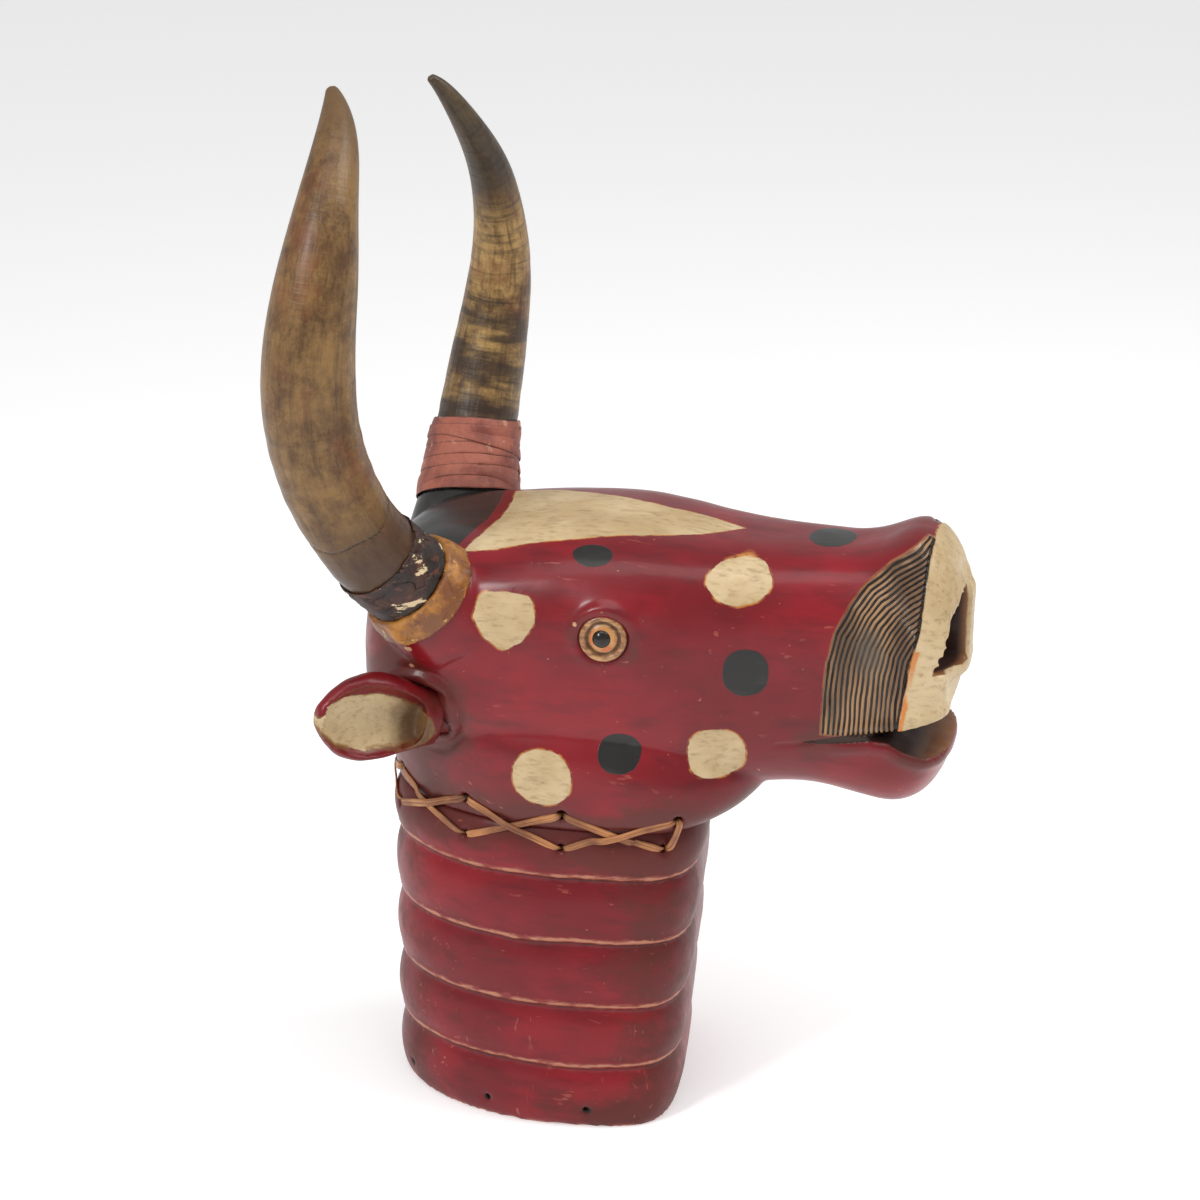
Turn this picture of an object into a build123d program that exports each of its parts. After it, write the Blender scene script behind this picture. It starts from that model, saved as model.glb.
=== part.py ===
from build123d import *
import math
import os

# Carved and painted ox head with real horns, laced on to a hollow ringed neck.
#
# Frame, in millimetres: X runs towards the muzzle, Y towards the animal's left, Z up.
# The origin is the centre of the neck's open foot, on the surface that the object stands on.

# ---- neck ----------------------------------------------------------------
ROLL_TOPS = (56.0, 112.0, 170.0, 228.0, 270.0)  # five carved rolls, one above the other
SEAM_Z = ROLL_TOPS[-1]  # the neck's top, where the head sits on it
ROLL_BULGE = 5.0  # how far a roll stands out from the groove above it
NECK_TWIST = 8.0  # degrees that the neck is laced on out of line with the head
NECK_BACK = 124.0  # foot centre to the back of the neck
NECK_FRONT = 115.0  # foot centre to the front of the foot
NECK_LEAN = 21.0  # how much further forward the neck's front is at the seam
NECK_HALF = 107.0  # half the neck's width
NECK_WIDEST = 30.0  # where along X the neck is widest
BACK_POWER, FRONT_POWER = 1.95, 4.2  # roundness of the plan: 2 is an ellipse, more is squarer
WALL = 20.0  # thickness of the carved walls
TIE_HOLES = 8  # holes round the foot, for tying a costume on
TIE_HOLE_R = 3.5
TIE_HOLE_Z = 17.0

# ---- head ----------------------------------------------------------------
# Level sections from the seam up: height, back, front, widest, half width, front power.
THROAT = (
    (290.0, -128.0, 182.0, 30.0, 107.0, 3.0),
    (318.0, -132.0, 194.0, 20.0, 109.0, 2.6),
    (345.0, -131.0, 165.0, 10.0, 104.0, 2.4),
    (378.0, -108.0, 125.0, 0.0, 84.0, 2.2),
)
# Sections across the head: distance forward, top, bottom, height where widest, half width,
# and the roundness of the upper and lower half.
SKULL_AND_MUZZLE = (
    (-134.0, 431.0, 332.0, 385.0, 52.0, 2.1, 2.0),
    (-125.0, 464.0, 314.0, 388.0, 80.0, 2.5, 2.2),
    (-102.0, 484.0, 306.0, 392.0, 100.0, 3.0, 2.4),
    (-50.0, 494.0, 302.0, 396.0, 109.0, 3.5, 2.5),
    (15.0, 503.0, 300.0, 398.0, 108.0, 3.5, 2.5),
    (75.0, 506.0, 296.0, 400.0, 103.0, 3.5, 2.5),
    (130.0, 501.0, 290.0, 398.0, 92.0, 3.5, 2.5),
    (180.0, 497.0, 294.0, 397.0, 80.0, 3.4, 2.6),
    (230.0, 497.0, 299.0, 396.0, 73.0, 3.3, 2.7),
    (272.0, 503.0, 291.0, 396.0, 71.0, 3.2, 2.8),
    (300.0, 514.0, 291.0, 400.0, 69.0, 3.0, 2.8),
    (319.0, 508.0, 304.0, 410.0, 64.0, 2.6, 2.5),
    (332.0, 489.0, 342.0, 428.0, 54.0, 2.3, 2.2),
    (343.0, 468.0, 400.0, 437.0, 34.0, 2.0, 2.0),
)
CAVITY_TOP = 425.0  # roof of the hollow inside the head
SPLINE_POINTS = 28  # points round a section's closed curve

# ---- mouth and nostrils --------------------------------------------------
# The gap between the lips, X and Z: its lower edge forwards, then its upper edge back.
MOUTH = (
    (226.0, 352.5), (253.0, 356.0), (276.0, 360.0), (290.0, 358.5), (301.0, 351.0), (316.0, 343.0), (370.0, 336.0),
    (370.0, 388.0), (331.0, 377.0), (296.0, 367.5), (253.0, 360.5),
)
# The left nostril's outline, Y and Z.
NOSTRIL = ((14.0, 474.0), (33.0, 463.0), (53.0, 442.0), (62.0, 416.0), (40.0, 414.0), (14.0, 413.0))
NOSTRIL_FLOOR = 317.0  # X of the flat bottom of the pocket

# ---- eyes ----------------------------------------------------------------
EYE_AT = (73.0, 438.0)  # X and Z of an eye's centre
EYE_R, EYE_THICK = 19.0, 7.0  # a turned wooden disc
EYE_PROUD = 3.0
PUPIL_R, PUPIL_PROUD = 8.0, 3.5

# ---- ears ----------------------------------------------------------------
EAR_ROOT = (-66.0, 100.0, 356.0)  # left ear, centre of its foot on the head
EAR_TIP = (-137.0, 170.0, 380.0)
EAR_SECTIONS = (  # share of the length, half height, half thickness
    (0.0, 23.0, 19.0),
    (0.22, 28.0, 22.0),
    (0.5, 37.0, 21.0),
    (0.78, 32.0, 15.0),
    (0.94, 17.0, 9.0),
    (1.0, 8.0, 5.0),
)
EAR_SCOOP = (  # the hollow: share of the length, half height of the ear there, half thickness
    (0.12, 20.0, 8.0),
    (0.3, 29.0, 17.0),
    (0.55, 36.0, 17.0),
    (0.8, 30.0, 11.0),
    (0.96, 14.0, 4.0),
)
EAR_FACING = (0.35, 1.0, 0.0)  # the way the hollow looks, before it is squared to the ear
EAR_RIM = 4.5
EAR_TENON_R, EAR_TENON = 12.0, 20.0
EAR_SEAT_R = 30.0

# ---- horns: centre line and radius from foot to tip -----------------------
HORN_RIGHT = (
    (-79.0, -94.0, 463.0, 36.5),
    (-101.0, -120.0, 497.0, 35.5),
    (-122.0, -142.0, 543.0, 35.0),
    (-134.5, -157.0, 598.0, 35.5),
    (-134.5, -164.0, 662.0, 34.5),
    (-128.5, -157.0, 721.0, 30.5),
    (-124.5, -138.0, 775.0, 23.0),
    (-126.5, -110.0, 812.0, 16.5),
    (-134.0, -87.0, 837.0, 9.0),
    (-139.0, -79.0, 846.0, 4.5),
)
HORN_LEFT = (
    (-92.0, 95.0, 466.0, 36.5),
    (-94.0, 113.0, 493.0, 35.0),
    (-93.0, 134.0, 533.0, 33.0),
    (-87.0, 151.0, 589.0, 30.5),
    (-80.0, 158.0, 650.0, 25.5),
    (-78.0, 150.0, 697.0, 21.0),
    (-81.0, 133.0, 740.0, 16.8),
    (-90.0, 110.0, 778.0, 12.2),
    (-102.0, 94.0, 806.0, 8.0),
    (-114.0, 83.0, 823.0, 3.5),
)
BOSS_R, BOSS_DEPTH, BOSS_SPREAD = 42.0, 42.0, 9.0  # carved boss under a horn's foot
HORN_SEAT = 0.5  # room round a horn's foot where it's let into the head
CORE_LENGTH = 62.0  # wooden core inside the horn, and as far again into the head
CORE_R_FOOT, CORE_R_TOP = 27.0, 18.0
CORE_IN_HEAD = 34.0
COLLAR_R, COLLAR_LOW, COLLAR_HIGH = 47.0, -11.0, 11.0  # resin packed round the right horn's foot
BINDING_LEFT = (-4.0, 78.0, (7.6, 5.5, 3.2, 2.4))  # from, to, and thickness at each section
BINDING_RIGHT = (12.0, 50.0, (1.8, 1.8, 1.8, 1.8))

# ---- lacing --------------------------------------------------------------
LACE_PAIRS = 8  # pairs of holes, from the right of the front round the back to the left
LACE_UP, LACE_DOWN = 15.0, 16.0  # the holes' height above and below the seam
LACE_HOLE_R = 4.5
LACE_R = 1.9
LACE_FROM_FRONT = 10.0  # the first pair, measured along the side from the front corner
LACE_GAP = 0.5  # between a strand and the wood
LACE_APART = 2.1  # the two laces pass through a hole side by side
LACE_INSIDE = 4.5  # how far a strand passes clear of the wall inside
LACE_STEPS = 4  # runs in one crossing
LACE_FOLD = 3.2  # bend of a strand over the edge of a hole
KNOT_R = 5.0


def superellipse(start, reach_x, reach_y, power):
    """Points of a closed curve, from the angle where its surface's seam is to lie.

    The other arguments are functions of the angle's cosine and sine.
    """
    points = []
    for i in range(SPLINE_POINTS):
        angle = start + 2 * math.pi * i / SPLINE_POINTS
        c, s = math.cos(angle), math.sin(angle)
        n = power(c, s)
        u = math.copysign(abs(c) ** (2 / n), c) * reach_x(c)
        v = math.copysign(abs(s) ** (2 / n), s) * reach_y(s)
        points.append((u, v))
    return points


def plan_outline(back, front, widest, half, front_power, inset=0.0):
    """Horseshoe-shaped plan: round behind, squarer in front."""
    points = superellipse(
        math.pi,
        lambda c: (front - widest if c > 0 else widest - back) - inset,
        lambda s: half - inset,
        lambda c, s: front_power if c > 0 else BACK_POWER,
    )
    return [(widest + u, v) for u, v in points]


def neck_outline(height, inset=0.0):
    """The neck's plan at a height, turned by the neck's twist."""
    front = NECK_FRONT + NECK_LEAN * height / SEAM_Z
    outline = plan_outline(-NECK_BACK, front, NECK_WIDEST, NECK_HALF, FRONT_POWER, inset)
    turn = math.radians(NECK_TWIST)
    c, s = math.cos(turn), math.sin(turn)
    return [(x * c - y * s, x * s + y * c) for x, y in outline]


def level_face(points, height):
    """A level face with a smooth closed edge."""
    return make_face(Spline(*[(x, y, height) for x, y in points], periodic=True))


def upright_face(points, x):
    """A face across the head with a smooth closed edge."""
    return make_face(Spline(*[(x, y, z) for y, z in points], periodic=True))


def rod(start, end, radius, end_radius=None):
    """A round bar between two points, tapering to end_radius if it is given."""
    a, b = Vector(*start), Vector(*end)
    plane = Plane(origin=a, z_dir=b - a)
    length = (b - a).length
    if end_radius is None:
        return plane * Cylinder(radius, length, align=(Align.CENTER, Align.CENTER, Align.MIN))
    return plane * Cone(radius, end_radius, length, align=(Align.CENTER, Align.CENTER, Align.MIN))


def along(line, distance):
    """Point at a distance along a line of points."""
    for start, end in zip(line, line[1:]):
        step = math.dist(start, end)
        if distance <= step:
            share = distance / step
            return tuple(a + (b - a) * share for a, b in zip(start, end))
        distance -= step
    return line[-1]


def path_length(line):
    return sum(math.dist(a, b) for a, b in zip(line, line[1:]))


def surface_point(solid, aim, z, proud=0.0):
    """Outermost point of a solid at a height, looking from the axis towards aim, and its normal."""
    origin = Vector(0, 0, z)
    towards = Vector(aim[0], aim[1], 0).normalized()
    hits = solid.find_intersection_points(Axis(origin, towards))
    ahead = [(p, n) for p, n in hits if (p - origin).dot(towards) > 0]
    point, normal = max(ahead, key=lambda hit: (hit[0] - origin).length)
    if normal.dot(towards) < 0:
        normal = normal * -1
    return point + normal * proud, normal


# ---- neck ----------------------------------------------------------------
def neck_body():
    """The neck without its holes or hollow: one barrel-shaped roll on another."""
    body = None
    low = 0.0
    for high in ROLL_TOPS:
        rims = []
        for share, inset in ((0.0, ROLL_BULGE * 0.4), (0.45, 0.0), (1.0, ROLL_BULGE)):
            z = low + (high - low) * share
            rims.append(level_face(neck_outline(z, inset), z))
        body = loft(rims) if body is None else body + loft(rims)
        low = high
    return body


def neck_hollow(low, high):
    inset = WALL + ROLL_BULGE / 2
    return loft([level_face(neck_outline(z, inset), z) for z in (low, high)])


# ---- head ----------------------------------------------------------------
def head_block():
    """The head as a solid block, without its hollow, mouth or sockets."""
    rims = [level_face(neck_outline(SEAM_Z, ROLL_BULGE * 0.5), SEAM_Z)]
    for z, back, front, widest, half, power in THROAT:
        rims.append(level_face(plan_outline(back, front, widest, half, power), z))
    sections = []
    for x, top, bottom, middle, half, top_power, bottom_power in SKULL_AND_MUZZLE:
        points = superellipse(
            math.pi / 2,
            lambda c: half,
            lambda s: top - middle if s > 0 else middle - bottom,
            lambda c, s: top_power if s > 0 else bottom_power,
        )
        sections.append(upright_face([(u, middle + v) for u, v in points], x))
    block = loft(rims) + loft(sections)
    for line in (HORN_RIGHT, HORN_LEFT):
        foot, direction = Vector(*line[0][:3]), horn_direction(line, 0)
        block += rod(foot - direction * BOSS_DEPTH, foot, BOSS_R + BOSS_SPREAD, BOSS_R)
    return block


def head_hollow():
    """The head is hollow over the neck, up to a rounded roof."""
    inset = WALL + ROLL_BULGE / 2
    middle = (SEAM_Z + CAVITY_TOP) / 2
    levels = ((SEAM_Z, inset), (middle, inset + 8), (CAVITY_TOP - 18, inset + 22), (CAVITY_TOP, inset + 48))
    return loft([level_face(neck_outline(SEAM_Z, i), z) for z, i in levels])


def mouth():
    """A gap between the lips, open at the front and sides, that narrows to a cut line."""
    return extrude(Plane.XZ * make_face(Polyline(*MOUTH, close=True)), 90, both=True)


def nostril():
    """The left nostril: a three-sided pocket cut straight back into the nose."""
    outline = make_face(Polyline(*[(y, z) for y, z in NOSTRIL], close=True))
    return Pos(NOSTRIL_FLOOR, 0, 0) * extrude(Plane.YZ * outline, 60)


def eye_place(block):
    """Point on the head at the left eye's centre, and the direction that the eye looks in."""
    x, z = EYE_AT
    hits = block.find_intersection_points(Axis(Vector(x, 0, z), Vector(0, 1, 0)))
    point, normal = max(hits, key=lambda hit: hit[0].Y)
    return point, (normal if normal.Y > 0 else normal * -1)


# ---- horns ---------------------------------------------------------------
def horn_direction(line, i):
    """Direction of a horn's centre line at its point i."""
    a, b = line[max(i - 1, 0)], line[min(i + 1, len(line) - 1)]
    return (Vector(*b[:3]) - Vector(*a[:3])).normalized()


def horn_section(line, i, thicker=0.0):
    point, along_horn = Vector(*line[i][:3]), horn_direction(line, i)
    x_dir = (Vector(1, 0, 0) - along_horn * along_horn.X).normalized()
    return Plane(origin=point, x_dir=x_dir, z_dir=along_horn) * Circle(line[i][3] + thicker)


def horn_solid(line, thicker=0.0, count=None):
    return loft([horn_section(line, i, thicker) for i in range(count or len(line))])


def horn_core(line):
    """Tapered wooden core: its foot is let into the head, and the horn fits over its top."""
    foot, direction = Vector(*line[0][:3]), horn_direction(line, 0)
    top = foot + direction * CORE_LENGTH
    low = foot - direction * CORE_IN_HEAD
    return rod(low, foot, CORE_R_FOOT) + rod(foot, top, CORE_R_FOOT, CORE_R_TOP)


def horn_collar(line):
    """Ring of resin round a horn's foot, thicker where it meets the head."""
    foot, direction = Vector(*line[0][:3]), horn_direction(line, 0)
    low, high = foot + direction * COLLAR_LOW, foot + direction * COLLAR_HIGH
    return rod(low, high, COLLAR_R, COLLAR_R - 6)


def horn_binding(line, low, high, thickness):
    """Sleeve of wound leather strip round a horn, flared where it covers the boss."""
    foot, direction = Vector(*line[0][:3]), horn_direction(line, 0)
    span = rod(foot + direction * low, foot + direction * high, COLLAR_R * 2)
    sections = [horn_section(line, i, extra) for i, extra in enumerate(thickness)]
    first = Pos(*(direction * (low - 1))) * sections[0]
    sleeve = loft([first] + sections[1:])
    return (sleeve - horn_solid(line)) & span


# ---- ears ----------------------------------------------------------------
def ear_section(share, half_height, half_thick, sideways=0.0):
    root, tip = Vector(*EAR_ROOT), Vector(*EAR_TIP)
    out = (tip - root).normalized()
    facing = Vector(*EAR_FACING)
    facing = (facing - out * facing.dot(out)).normalized()
    plane = Plane(origin=root + (tip - root) * share + facing * sideways, x_dir=facing, z_dir=out)
    return plane * Ellipse(half_thick, half_height)


def left_ear():
    """Leaf-shaped ear, hollowed on the side that faces out, with a tenon into the head."""
    leaf = loft([ear_section(*section) for section in EAR_SECTIONS])
    scoop = loft([
        ear_section(share, half_height - EAR_RIM, half_thick, half_thick * 0.75)
        for share, half_height, half_thick in EAR_SCOOP
    ])
    root, tip = Vector(*EAR_ROOT), Vector(*EAR_TIP)
    inward = (root - tip).normalized()
    return leaf - scoop + rod(root - inward * 4, root + inward * EAR_TENON, EAR_TENON_R)


def left_ear_socket():
    root, tip = Vector(*EAR_ROOT), Vector(*EAR_TIP)
    inward = (root - tip).normalized()
    seat = rod(root - inward * 60, root, EAR_SEAT_R)
    return rod(root - inward * 5, root + inward * (EAR_TENON + 0.5), EAR_TENON_R + 0.2), seat


# ---- lacing --------------------------------------------------------------
def lace_places():
    """Places round the neck's plan, from the right of the front round the back to the left."""
    outline = neck_outline(SEAM_Z)
    front_left = max(outline, key=lambda p: p[0] + p[1])
    front_right = max(outline, key=lambda p: p[0] - p[1])
    start, end = outline.index(front_right), outline.index(front_left)
    count = (start - end) % SPLINE_POINTS
    around = [outline[start - k] for k in range(count + 1)]
    total = (LACE_PAIRS - 1) * LACE_STEPS
    fine = (path_length(around) - 2 * LACE_FROM_FRONT) / total
    return [along(around, LACE_FROM_FRONT + k * fine) for k in range(total + 1)]


def lace_hole(solid, place, z):
    """Where a lace hole comes out of the wood, and its level direction.

    The holes lean towards the middle of the neck, so that those at the front corners
    reach the hollow.
    """
    point, normal = surface_point(solid, place, z)
    square = Vector(normal.X, normal.Y, 0).normalized()
    from_middle = Vector(place[0] - NECK_WIDEST, place[1], 0).normalized()
    return point, (square + from_middle).normalized()


def lace_visits(starts_up):
    """Holes that a lace passes through: pair, upper or lower, and which side of the hole.

    It comes out of the first, goes in at the second, and so on. Both laces cross from each
    pair to the next, and each goes round one end pair a second time.
    """
    last = LACE_PAIRS - 1
    visits = []
    for pair in range(last):
        visits += [(pair, starts_up, 1), (pair + 1, not starts_up, -1)]
    if starts_up:
        return visits + [(last, True, 1), (last, False, 1)]
    return [(0, False, -1), (0, True, -1)] + visits


def lace_route(places, head, neck, starts_up):
    """Points of one lace."""
    deeper = 0.0 if starts_up else 2 * LACE_R + LACE_GAP
    points = []

    def through(pair, up, aside):
        solid, z = (head, SEAM_Z + LACE_UP) if up else (neck, SEAM_Z - LACE_DOWN)
        point, out = lace_hole(solid, places[pair * LACE_STEPS], z)
        point = point + out.cross(Vector(0, 0, 1)) * aside * LACE_APART
        outside = point + out * (LACE_R + LACE_GAP)
        return outside, point - out * (WALL + ROLL_BULGE + LACE_INSIDE + deeper)

    def over_seam(place, z, proud):
        """Point outside the wood, at a height near the seam."""
        upper = surface_point(head, place, max(z, SEAM_Z + 6), proud)[0]
        lower = surface_point(neck, place, min(z, SEAM_Z - 6), proud)[0]
        outer = max(upper, lower, key=lambda p: math.hypot(p.X, p.Y))
        return Vector(outer.X, outer.Y, z)

    visits = lace_visits(starts_up)
    for (pair, up, aside), (next_pair, next_up, next_aside) in zip(visits[::2], visits[1::2]):
        outside, inside = through(pair, up, aside)
        points += [inside, outside]
        steps = LACE_STEPS if next_pair > pair else 2
        z, next_z = outside.Z, through(next_pair, next_up, next_aside)[0].Z
        for step in range(1, steps):
            share = step / steps
            place = places[pair * LACE_STEPS + (step if next_pair > pair else 0)]
            on_top = share == 0.5 and (pair % 2 == 0) == starts_up
            proud = LACE_R * (3.8 if on_top else 1) + LACE_GAP
            points.append(over_seam(place, z + (next_z - z) * share, proud))
        outside, inside = through(next_pair, next_up, next_aside)
        points += [outside, inside]
    return points


def tube(points, radius, fold):
    """Round cord along straight runs joined by tangent arcs."""
    radii = []
    for before, here, after in zip(points, points[1:], points[2:]):
        shorter = min((here - before).length, (after - here).length)
        turn = math.radians((here - before).get_angle(after - here))
        easy = 0.45 * shorter / math.tan(turn / 2)
        radii.append(min(easy, fold) if turn > math.radians(50) else easy)
    path = FilletPolyline(*points, radius=radii)
    section = Plane(origin=path @ 0, z_dir=path % 0) * Circle(radius)
    cord = sweep(section, path=path)
    print("cord", round(path.length, 1), "mm, tightest bend", round(min(radii), 1),
          "volume ratio", round(cord.volume / (math.pi * radius**2 * path.length), 3))
    return cord


def both_sides(left):
    """A left-hand piece and its mirror image on the right."""
    return {"left": left, "right": mirror(left, about=Plane.XZ)}


def main():
    os.makedirs("parts", exist_ok=True)
    block = head_block()
    neck_block = neck_body()
    places = lace_places()
    pairs = places[::LACE_STEPS]

    neck = neck_block - neck_hollow(-1, SEAM_Z + 1)
    turn = math.radians(NECK_TWIST)
    for k in range(TIE_HOLES):
        angle = 2 * math.pi * (k + 0.5) / TIE_HOLES + turn
        out = Vector(math.cos(angle), math.sin(angle), 0)
        neck -= rod(out * 40 + Vector(0, 0, TIE_HOLE_Z), out * 200 + Vector(0, 0, TIE_HOLE_Z), TIE_HOLE_R)
    head = block - head_hollow() - mouth()
    for place in pairs:
        for up in (True, False):
            z = SEAM_Z + (LACE_UP if up else -LACE_DOWN)
            point, out = lace_hole(block if up else neck_block, place, z)
            hole = rod(point - out * 60, point + out * 20, LACE_HOLE_R)
            if up:
                head -= hole
            else:
                neck -= hole
    print("holes done")

    eye_point, eye_out = eye_place(block)
    eye_low, eye_high = eye_point - eye_out * (EYE_THICK - EYE_PROUD), eye_point + eye_out * EYE_PROUD
    pupil_high = eye_high + eye_out * PUPIL_PROUD
    eye = rod(eye_low, eye_high, EYE_R) - rod(eye_low + eye_out * 2, eye_high, PUPIL_R)
    pupil = rod(eye_low + eye_out * 2, pupil_high, PUPIL_R)
    ear = left_ear()
    tenon_hole, seat = left_ear_socket()
    for half in (nostril(), rod(eye_low, eye_high + eye_out * 20, EYE_R + 0.2), tenon_hole + seat):
        head = head - half - mirror(half, about=Plane.XZ)
    print("sockets done")

    pieces = {}
    for kind, shape in (("eye", eye), ("pupil", pupil), ("ear", ear)):
        for side, piece in both_sides(shape).items():
            pieces[f"{kind}_{side}"] = piece
    for side, line, wound in (("right", HORN_RIGHT, BINDING_RIGHT), ("left", HORN_LEFT, BINDING_LEFT)):
        core = horn_core(line)
        foot, direction = Vector(*line[0][:3]), horn_direction(line, 0)
        head -= core
        head -= rod(foot, foot + direction * BOSS_DEPTH, line[0][3] + HORN_SEAT)
        pieces[f"horn_{side}"] = horn_solid(line) - core
        pieces[f"horn_core_{side}"] = core
        pieces[f"horn_binding_{side}"] = horn_binding(line, *wound) - block
    pieces["horn_collar_right"] = horn_collar(HORN_RIGHT) - horn_solid(HORN_RIGHT) - block
    print("horns done")
    pieces["head"] = head
    pieces["neck"] = neck

    for letter, starts_up in (("a", True), ("b", False)):
        route = lace_route(places, block, neck_block, starts_up)
        pieces[f"lace_{letter}"] = tube(route, LACE_R, LACE_FOLD)
        ends = ((route[1], route[0]), (route[-2], route[-1]))
        pieces[f"lace_knots_{letter}"] = [
            Pos(*(end + (end - before).normalized() * KNOT_R)) * Sphere(KNOT_R)
            for before, end in ends
        ]

    for name, piece in pieces.items():
        if isinstance(piece, list):
            piece = Compound(children=piece)
        export_step(piece, f"parts/{name}.step")


if __name__ == "__main__":
    main()
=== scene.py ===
"""Looks for the carved and painted ox head: colours, carving marks, horn, leather and lacing.

Lengths are in metres, in the CAD model's frame: +X to the muzzle, +Y to the animal's left, +Z up.
Where a shape is measured along a side of the head, it is given in millimetres as X and Z, and
"plan" means X and Y. Painted shapes are stored on the meshes as signed distances in millimetres,
positive inside the shape, and the materials turn them into edges.
"""

import math

import bmesh
import bpy
import numpy as np
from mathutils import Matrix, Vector, noise
from mathutils.bvhtree import BVHTree


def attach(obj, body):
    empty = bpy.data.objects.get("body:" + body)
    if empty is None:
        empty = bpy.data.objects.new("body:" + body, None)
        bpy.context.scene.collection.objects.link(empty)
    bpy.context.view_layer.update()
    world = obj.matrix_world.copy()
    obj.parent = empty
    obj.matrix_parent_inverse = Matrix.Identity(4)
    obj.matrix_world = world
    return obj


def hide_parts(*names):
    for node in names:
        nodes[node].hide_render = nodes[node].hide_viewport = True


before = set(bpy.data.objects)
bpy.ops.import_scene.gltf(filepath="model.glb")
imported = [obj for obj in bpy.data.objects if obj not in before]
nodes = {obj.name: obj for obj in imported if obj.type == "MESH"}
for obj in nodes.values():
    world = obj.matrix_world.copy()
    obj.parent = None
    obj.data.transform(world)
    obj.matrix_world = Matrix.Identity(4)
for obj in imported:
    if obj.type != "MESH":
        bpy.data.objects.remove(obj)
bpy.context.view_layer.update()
MM = 0.001

# ---- dimensions shared with the CAD model, in millimetres -----------------
ROLL_TOPS = (56, 112, 170, 228, 270)
SEAM_Z = 270
NECK_TWIST = math.radians(8)
NECK_BACK, NECK_FRONT, NECK_LEAN = 124, 115, 21
NECK_HALF, NECK_WIDEST = 107, 30
BACK_POWER, FRONT_POWER = 1.95, 4.2
WALL = 20
OUTLINE_POINTS = 28
LACE_PAIRS, LACE_STEPS = 8, 4
LACE_UP, LACE_DOWN = 15, 16
LACE_FROM_FRONT = 10
LACE_STEP = 0.0022  # metres between a lace's sections
LACE_SECTION = (  # shares of half the width and half the thickness, with a furrow on top
    (-1, -0.2), (-0.85, 0.7), (-0.45, 0.95), (-0.12, 0.8), (0, 0.45), (0.12, 0.8), (0.45, 0.95), (0.85, 0.7),
    (1, -0.2), (0.7, -0.9), (0, -1), (-0.7, -0.9),
)
KNOT_SIZE = 0.00112
HORN_RIGHT = (
    (-79, -94, 463, 36.5), (-101, -120, 497, 35.5), (-122, -142, 543, 35), (-134.5, -157, 598, 35.5),
    (-134.5, -164, 662, 34.5), (-128.5, -157, 721, 30.5), (-124.5, -138, 775, 23),
    (-126.5, -110, 812, 16.5), (-134, -87, 837, 9), (-139, -79, 846, 4.5),
)
HORN_LEFT = (
    (-92, 95, 466, 36.5), (-94, 113, 493, 35), (-93, 134, 533, 33), (-87, 151, 589, 30.5),
    (-80, 158, 650, 25.5), (-78, 150, 697, 21), (-81, 133, 740, 16.8), (-90, 110, 778, 12.2),
    (-102, 94, 806, 8), (-114, 83, 823, 3.5),
)
RING_CRACK_AT = 0.20  # share of the right horn's length
TIE_HOLES, TIE_Z = 8, 17
EYE_X, EYE_Z = 73, 438
EAR_ROOT = Vector((-66, 100, 356))
EAR_TIP = Vector((-137, 170, 380))
EAR_FACING = Vector((0.35, 1, 0))
MOUTH = (
    (226, 352.5), (253, 356), (276, 360), (290, 358.5), (301, 351), (316, 343), (370, 336),
    (370, 388), (331, 377), (296, 367.5), (253, 360.5),
)
MOUTH_CORNER = ((204, 348), (222, 351), (232, 353))
MOUTH_SIDE = 34  # the mouth's rim is refined where Y is below minus this
NOSTRIL = ((14, 474), (33, 463), (53, 442), (62, 416), (40, 414), (14, 413))  # |Y| and Z
NOSTRIL_FLOOR, NOSE_TIP = 317, 343
HOLLOW_TOP = 431

# ---- painted and carved shapes on the head, in millimetres ----------------
COMB_LEFT = (
    (238, 360), (239, 397), (241, 422), (246, 446), (256, 468), (267, 484), (284, 499), (313, 516),
)
COMB_RIGHT = ((295, 360), (303, 419), (310, 451), (312, 481), (313, 516))
COMB_PITCH, COMB_DEPTH = 3.9, 1.5
COMB_TOP, COMB_INNER = 513, 16  # the band's upper end in Z, and its inner end in |Y|
LIP_Z = 367
UPPER_LIP = ((253, 360.5), (296, 367.5), (331, 377), (370, 388))
PATCH = (
    (-47, -73), (-22, -72), (9, -65), (47, -59), (92, -46), (131, -26), (162, 3), (128, 15), (103, 16),
    (77, 21), (40, 34), (22, 42), (-6, 52), (-40, 58), (-33, 20), (-32, -17), (-39, -51),
)
POLL = (
    (-56, -77), (-88, -74), (-128, -40), (-150, 20), (-160, 60), (-150, 135), (-50, 135), (-49, 60), (-43, 20),
    (-42, -17), (-49, -50),
)
CREAM_DOTS = ((25, 317, 24, 23.5, 2.2), (158, 341, 22, 21.5, 2.4))  # X, Z, half sizes, roundness
CREAM_SHAPES = (  # outlines of the shapes' middles, which are then widened by CREAM_WIDER
    ((-19, 459), (-5, 460), (10, 459), (12, 449), (5, 437), (-5, 431), (-14, 437), (-21, 449)),
    ((154, 481), (158, 484), (172, 486), (184, 484), (188, 479), (183, 474), (171, 471), (161, 474)),
)
CREAM_WIDER = 8
BLACK_DOTS = ((180, 411, 17.5, 19.5, 2.3), (85, 341, 16.5, 16, 2.2))
BLACK_TOP_DOTS = (
    (58, -75, 16, 9.5, 2.0), (58, 75, 16, 9.5, 2.0), (231, 3, 18.5, 22, 2.0), (288, 44, 15, 13, 2.0),
)
EAR_SEAT = (-78, 360, 36)  # X, Z and radius of the mound that an ear grows from
CHIPS = (  # X, Z and size of chips down to the wood, near the ear and the eye
    (-98, 385, 5), (-79, 420, 4), (-80, 401, 3), (72, 460, 2), (51, 449, 2.5), (98, 444, 2),
)
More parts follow.
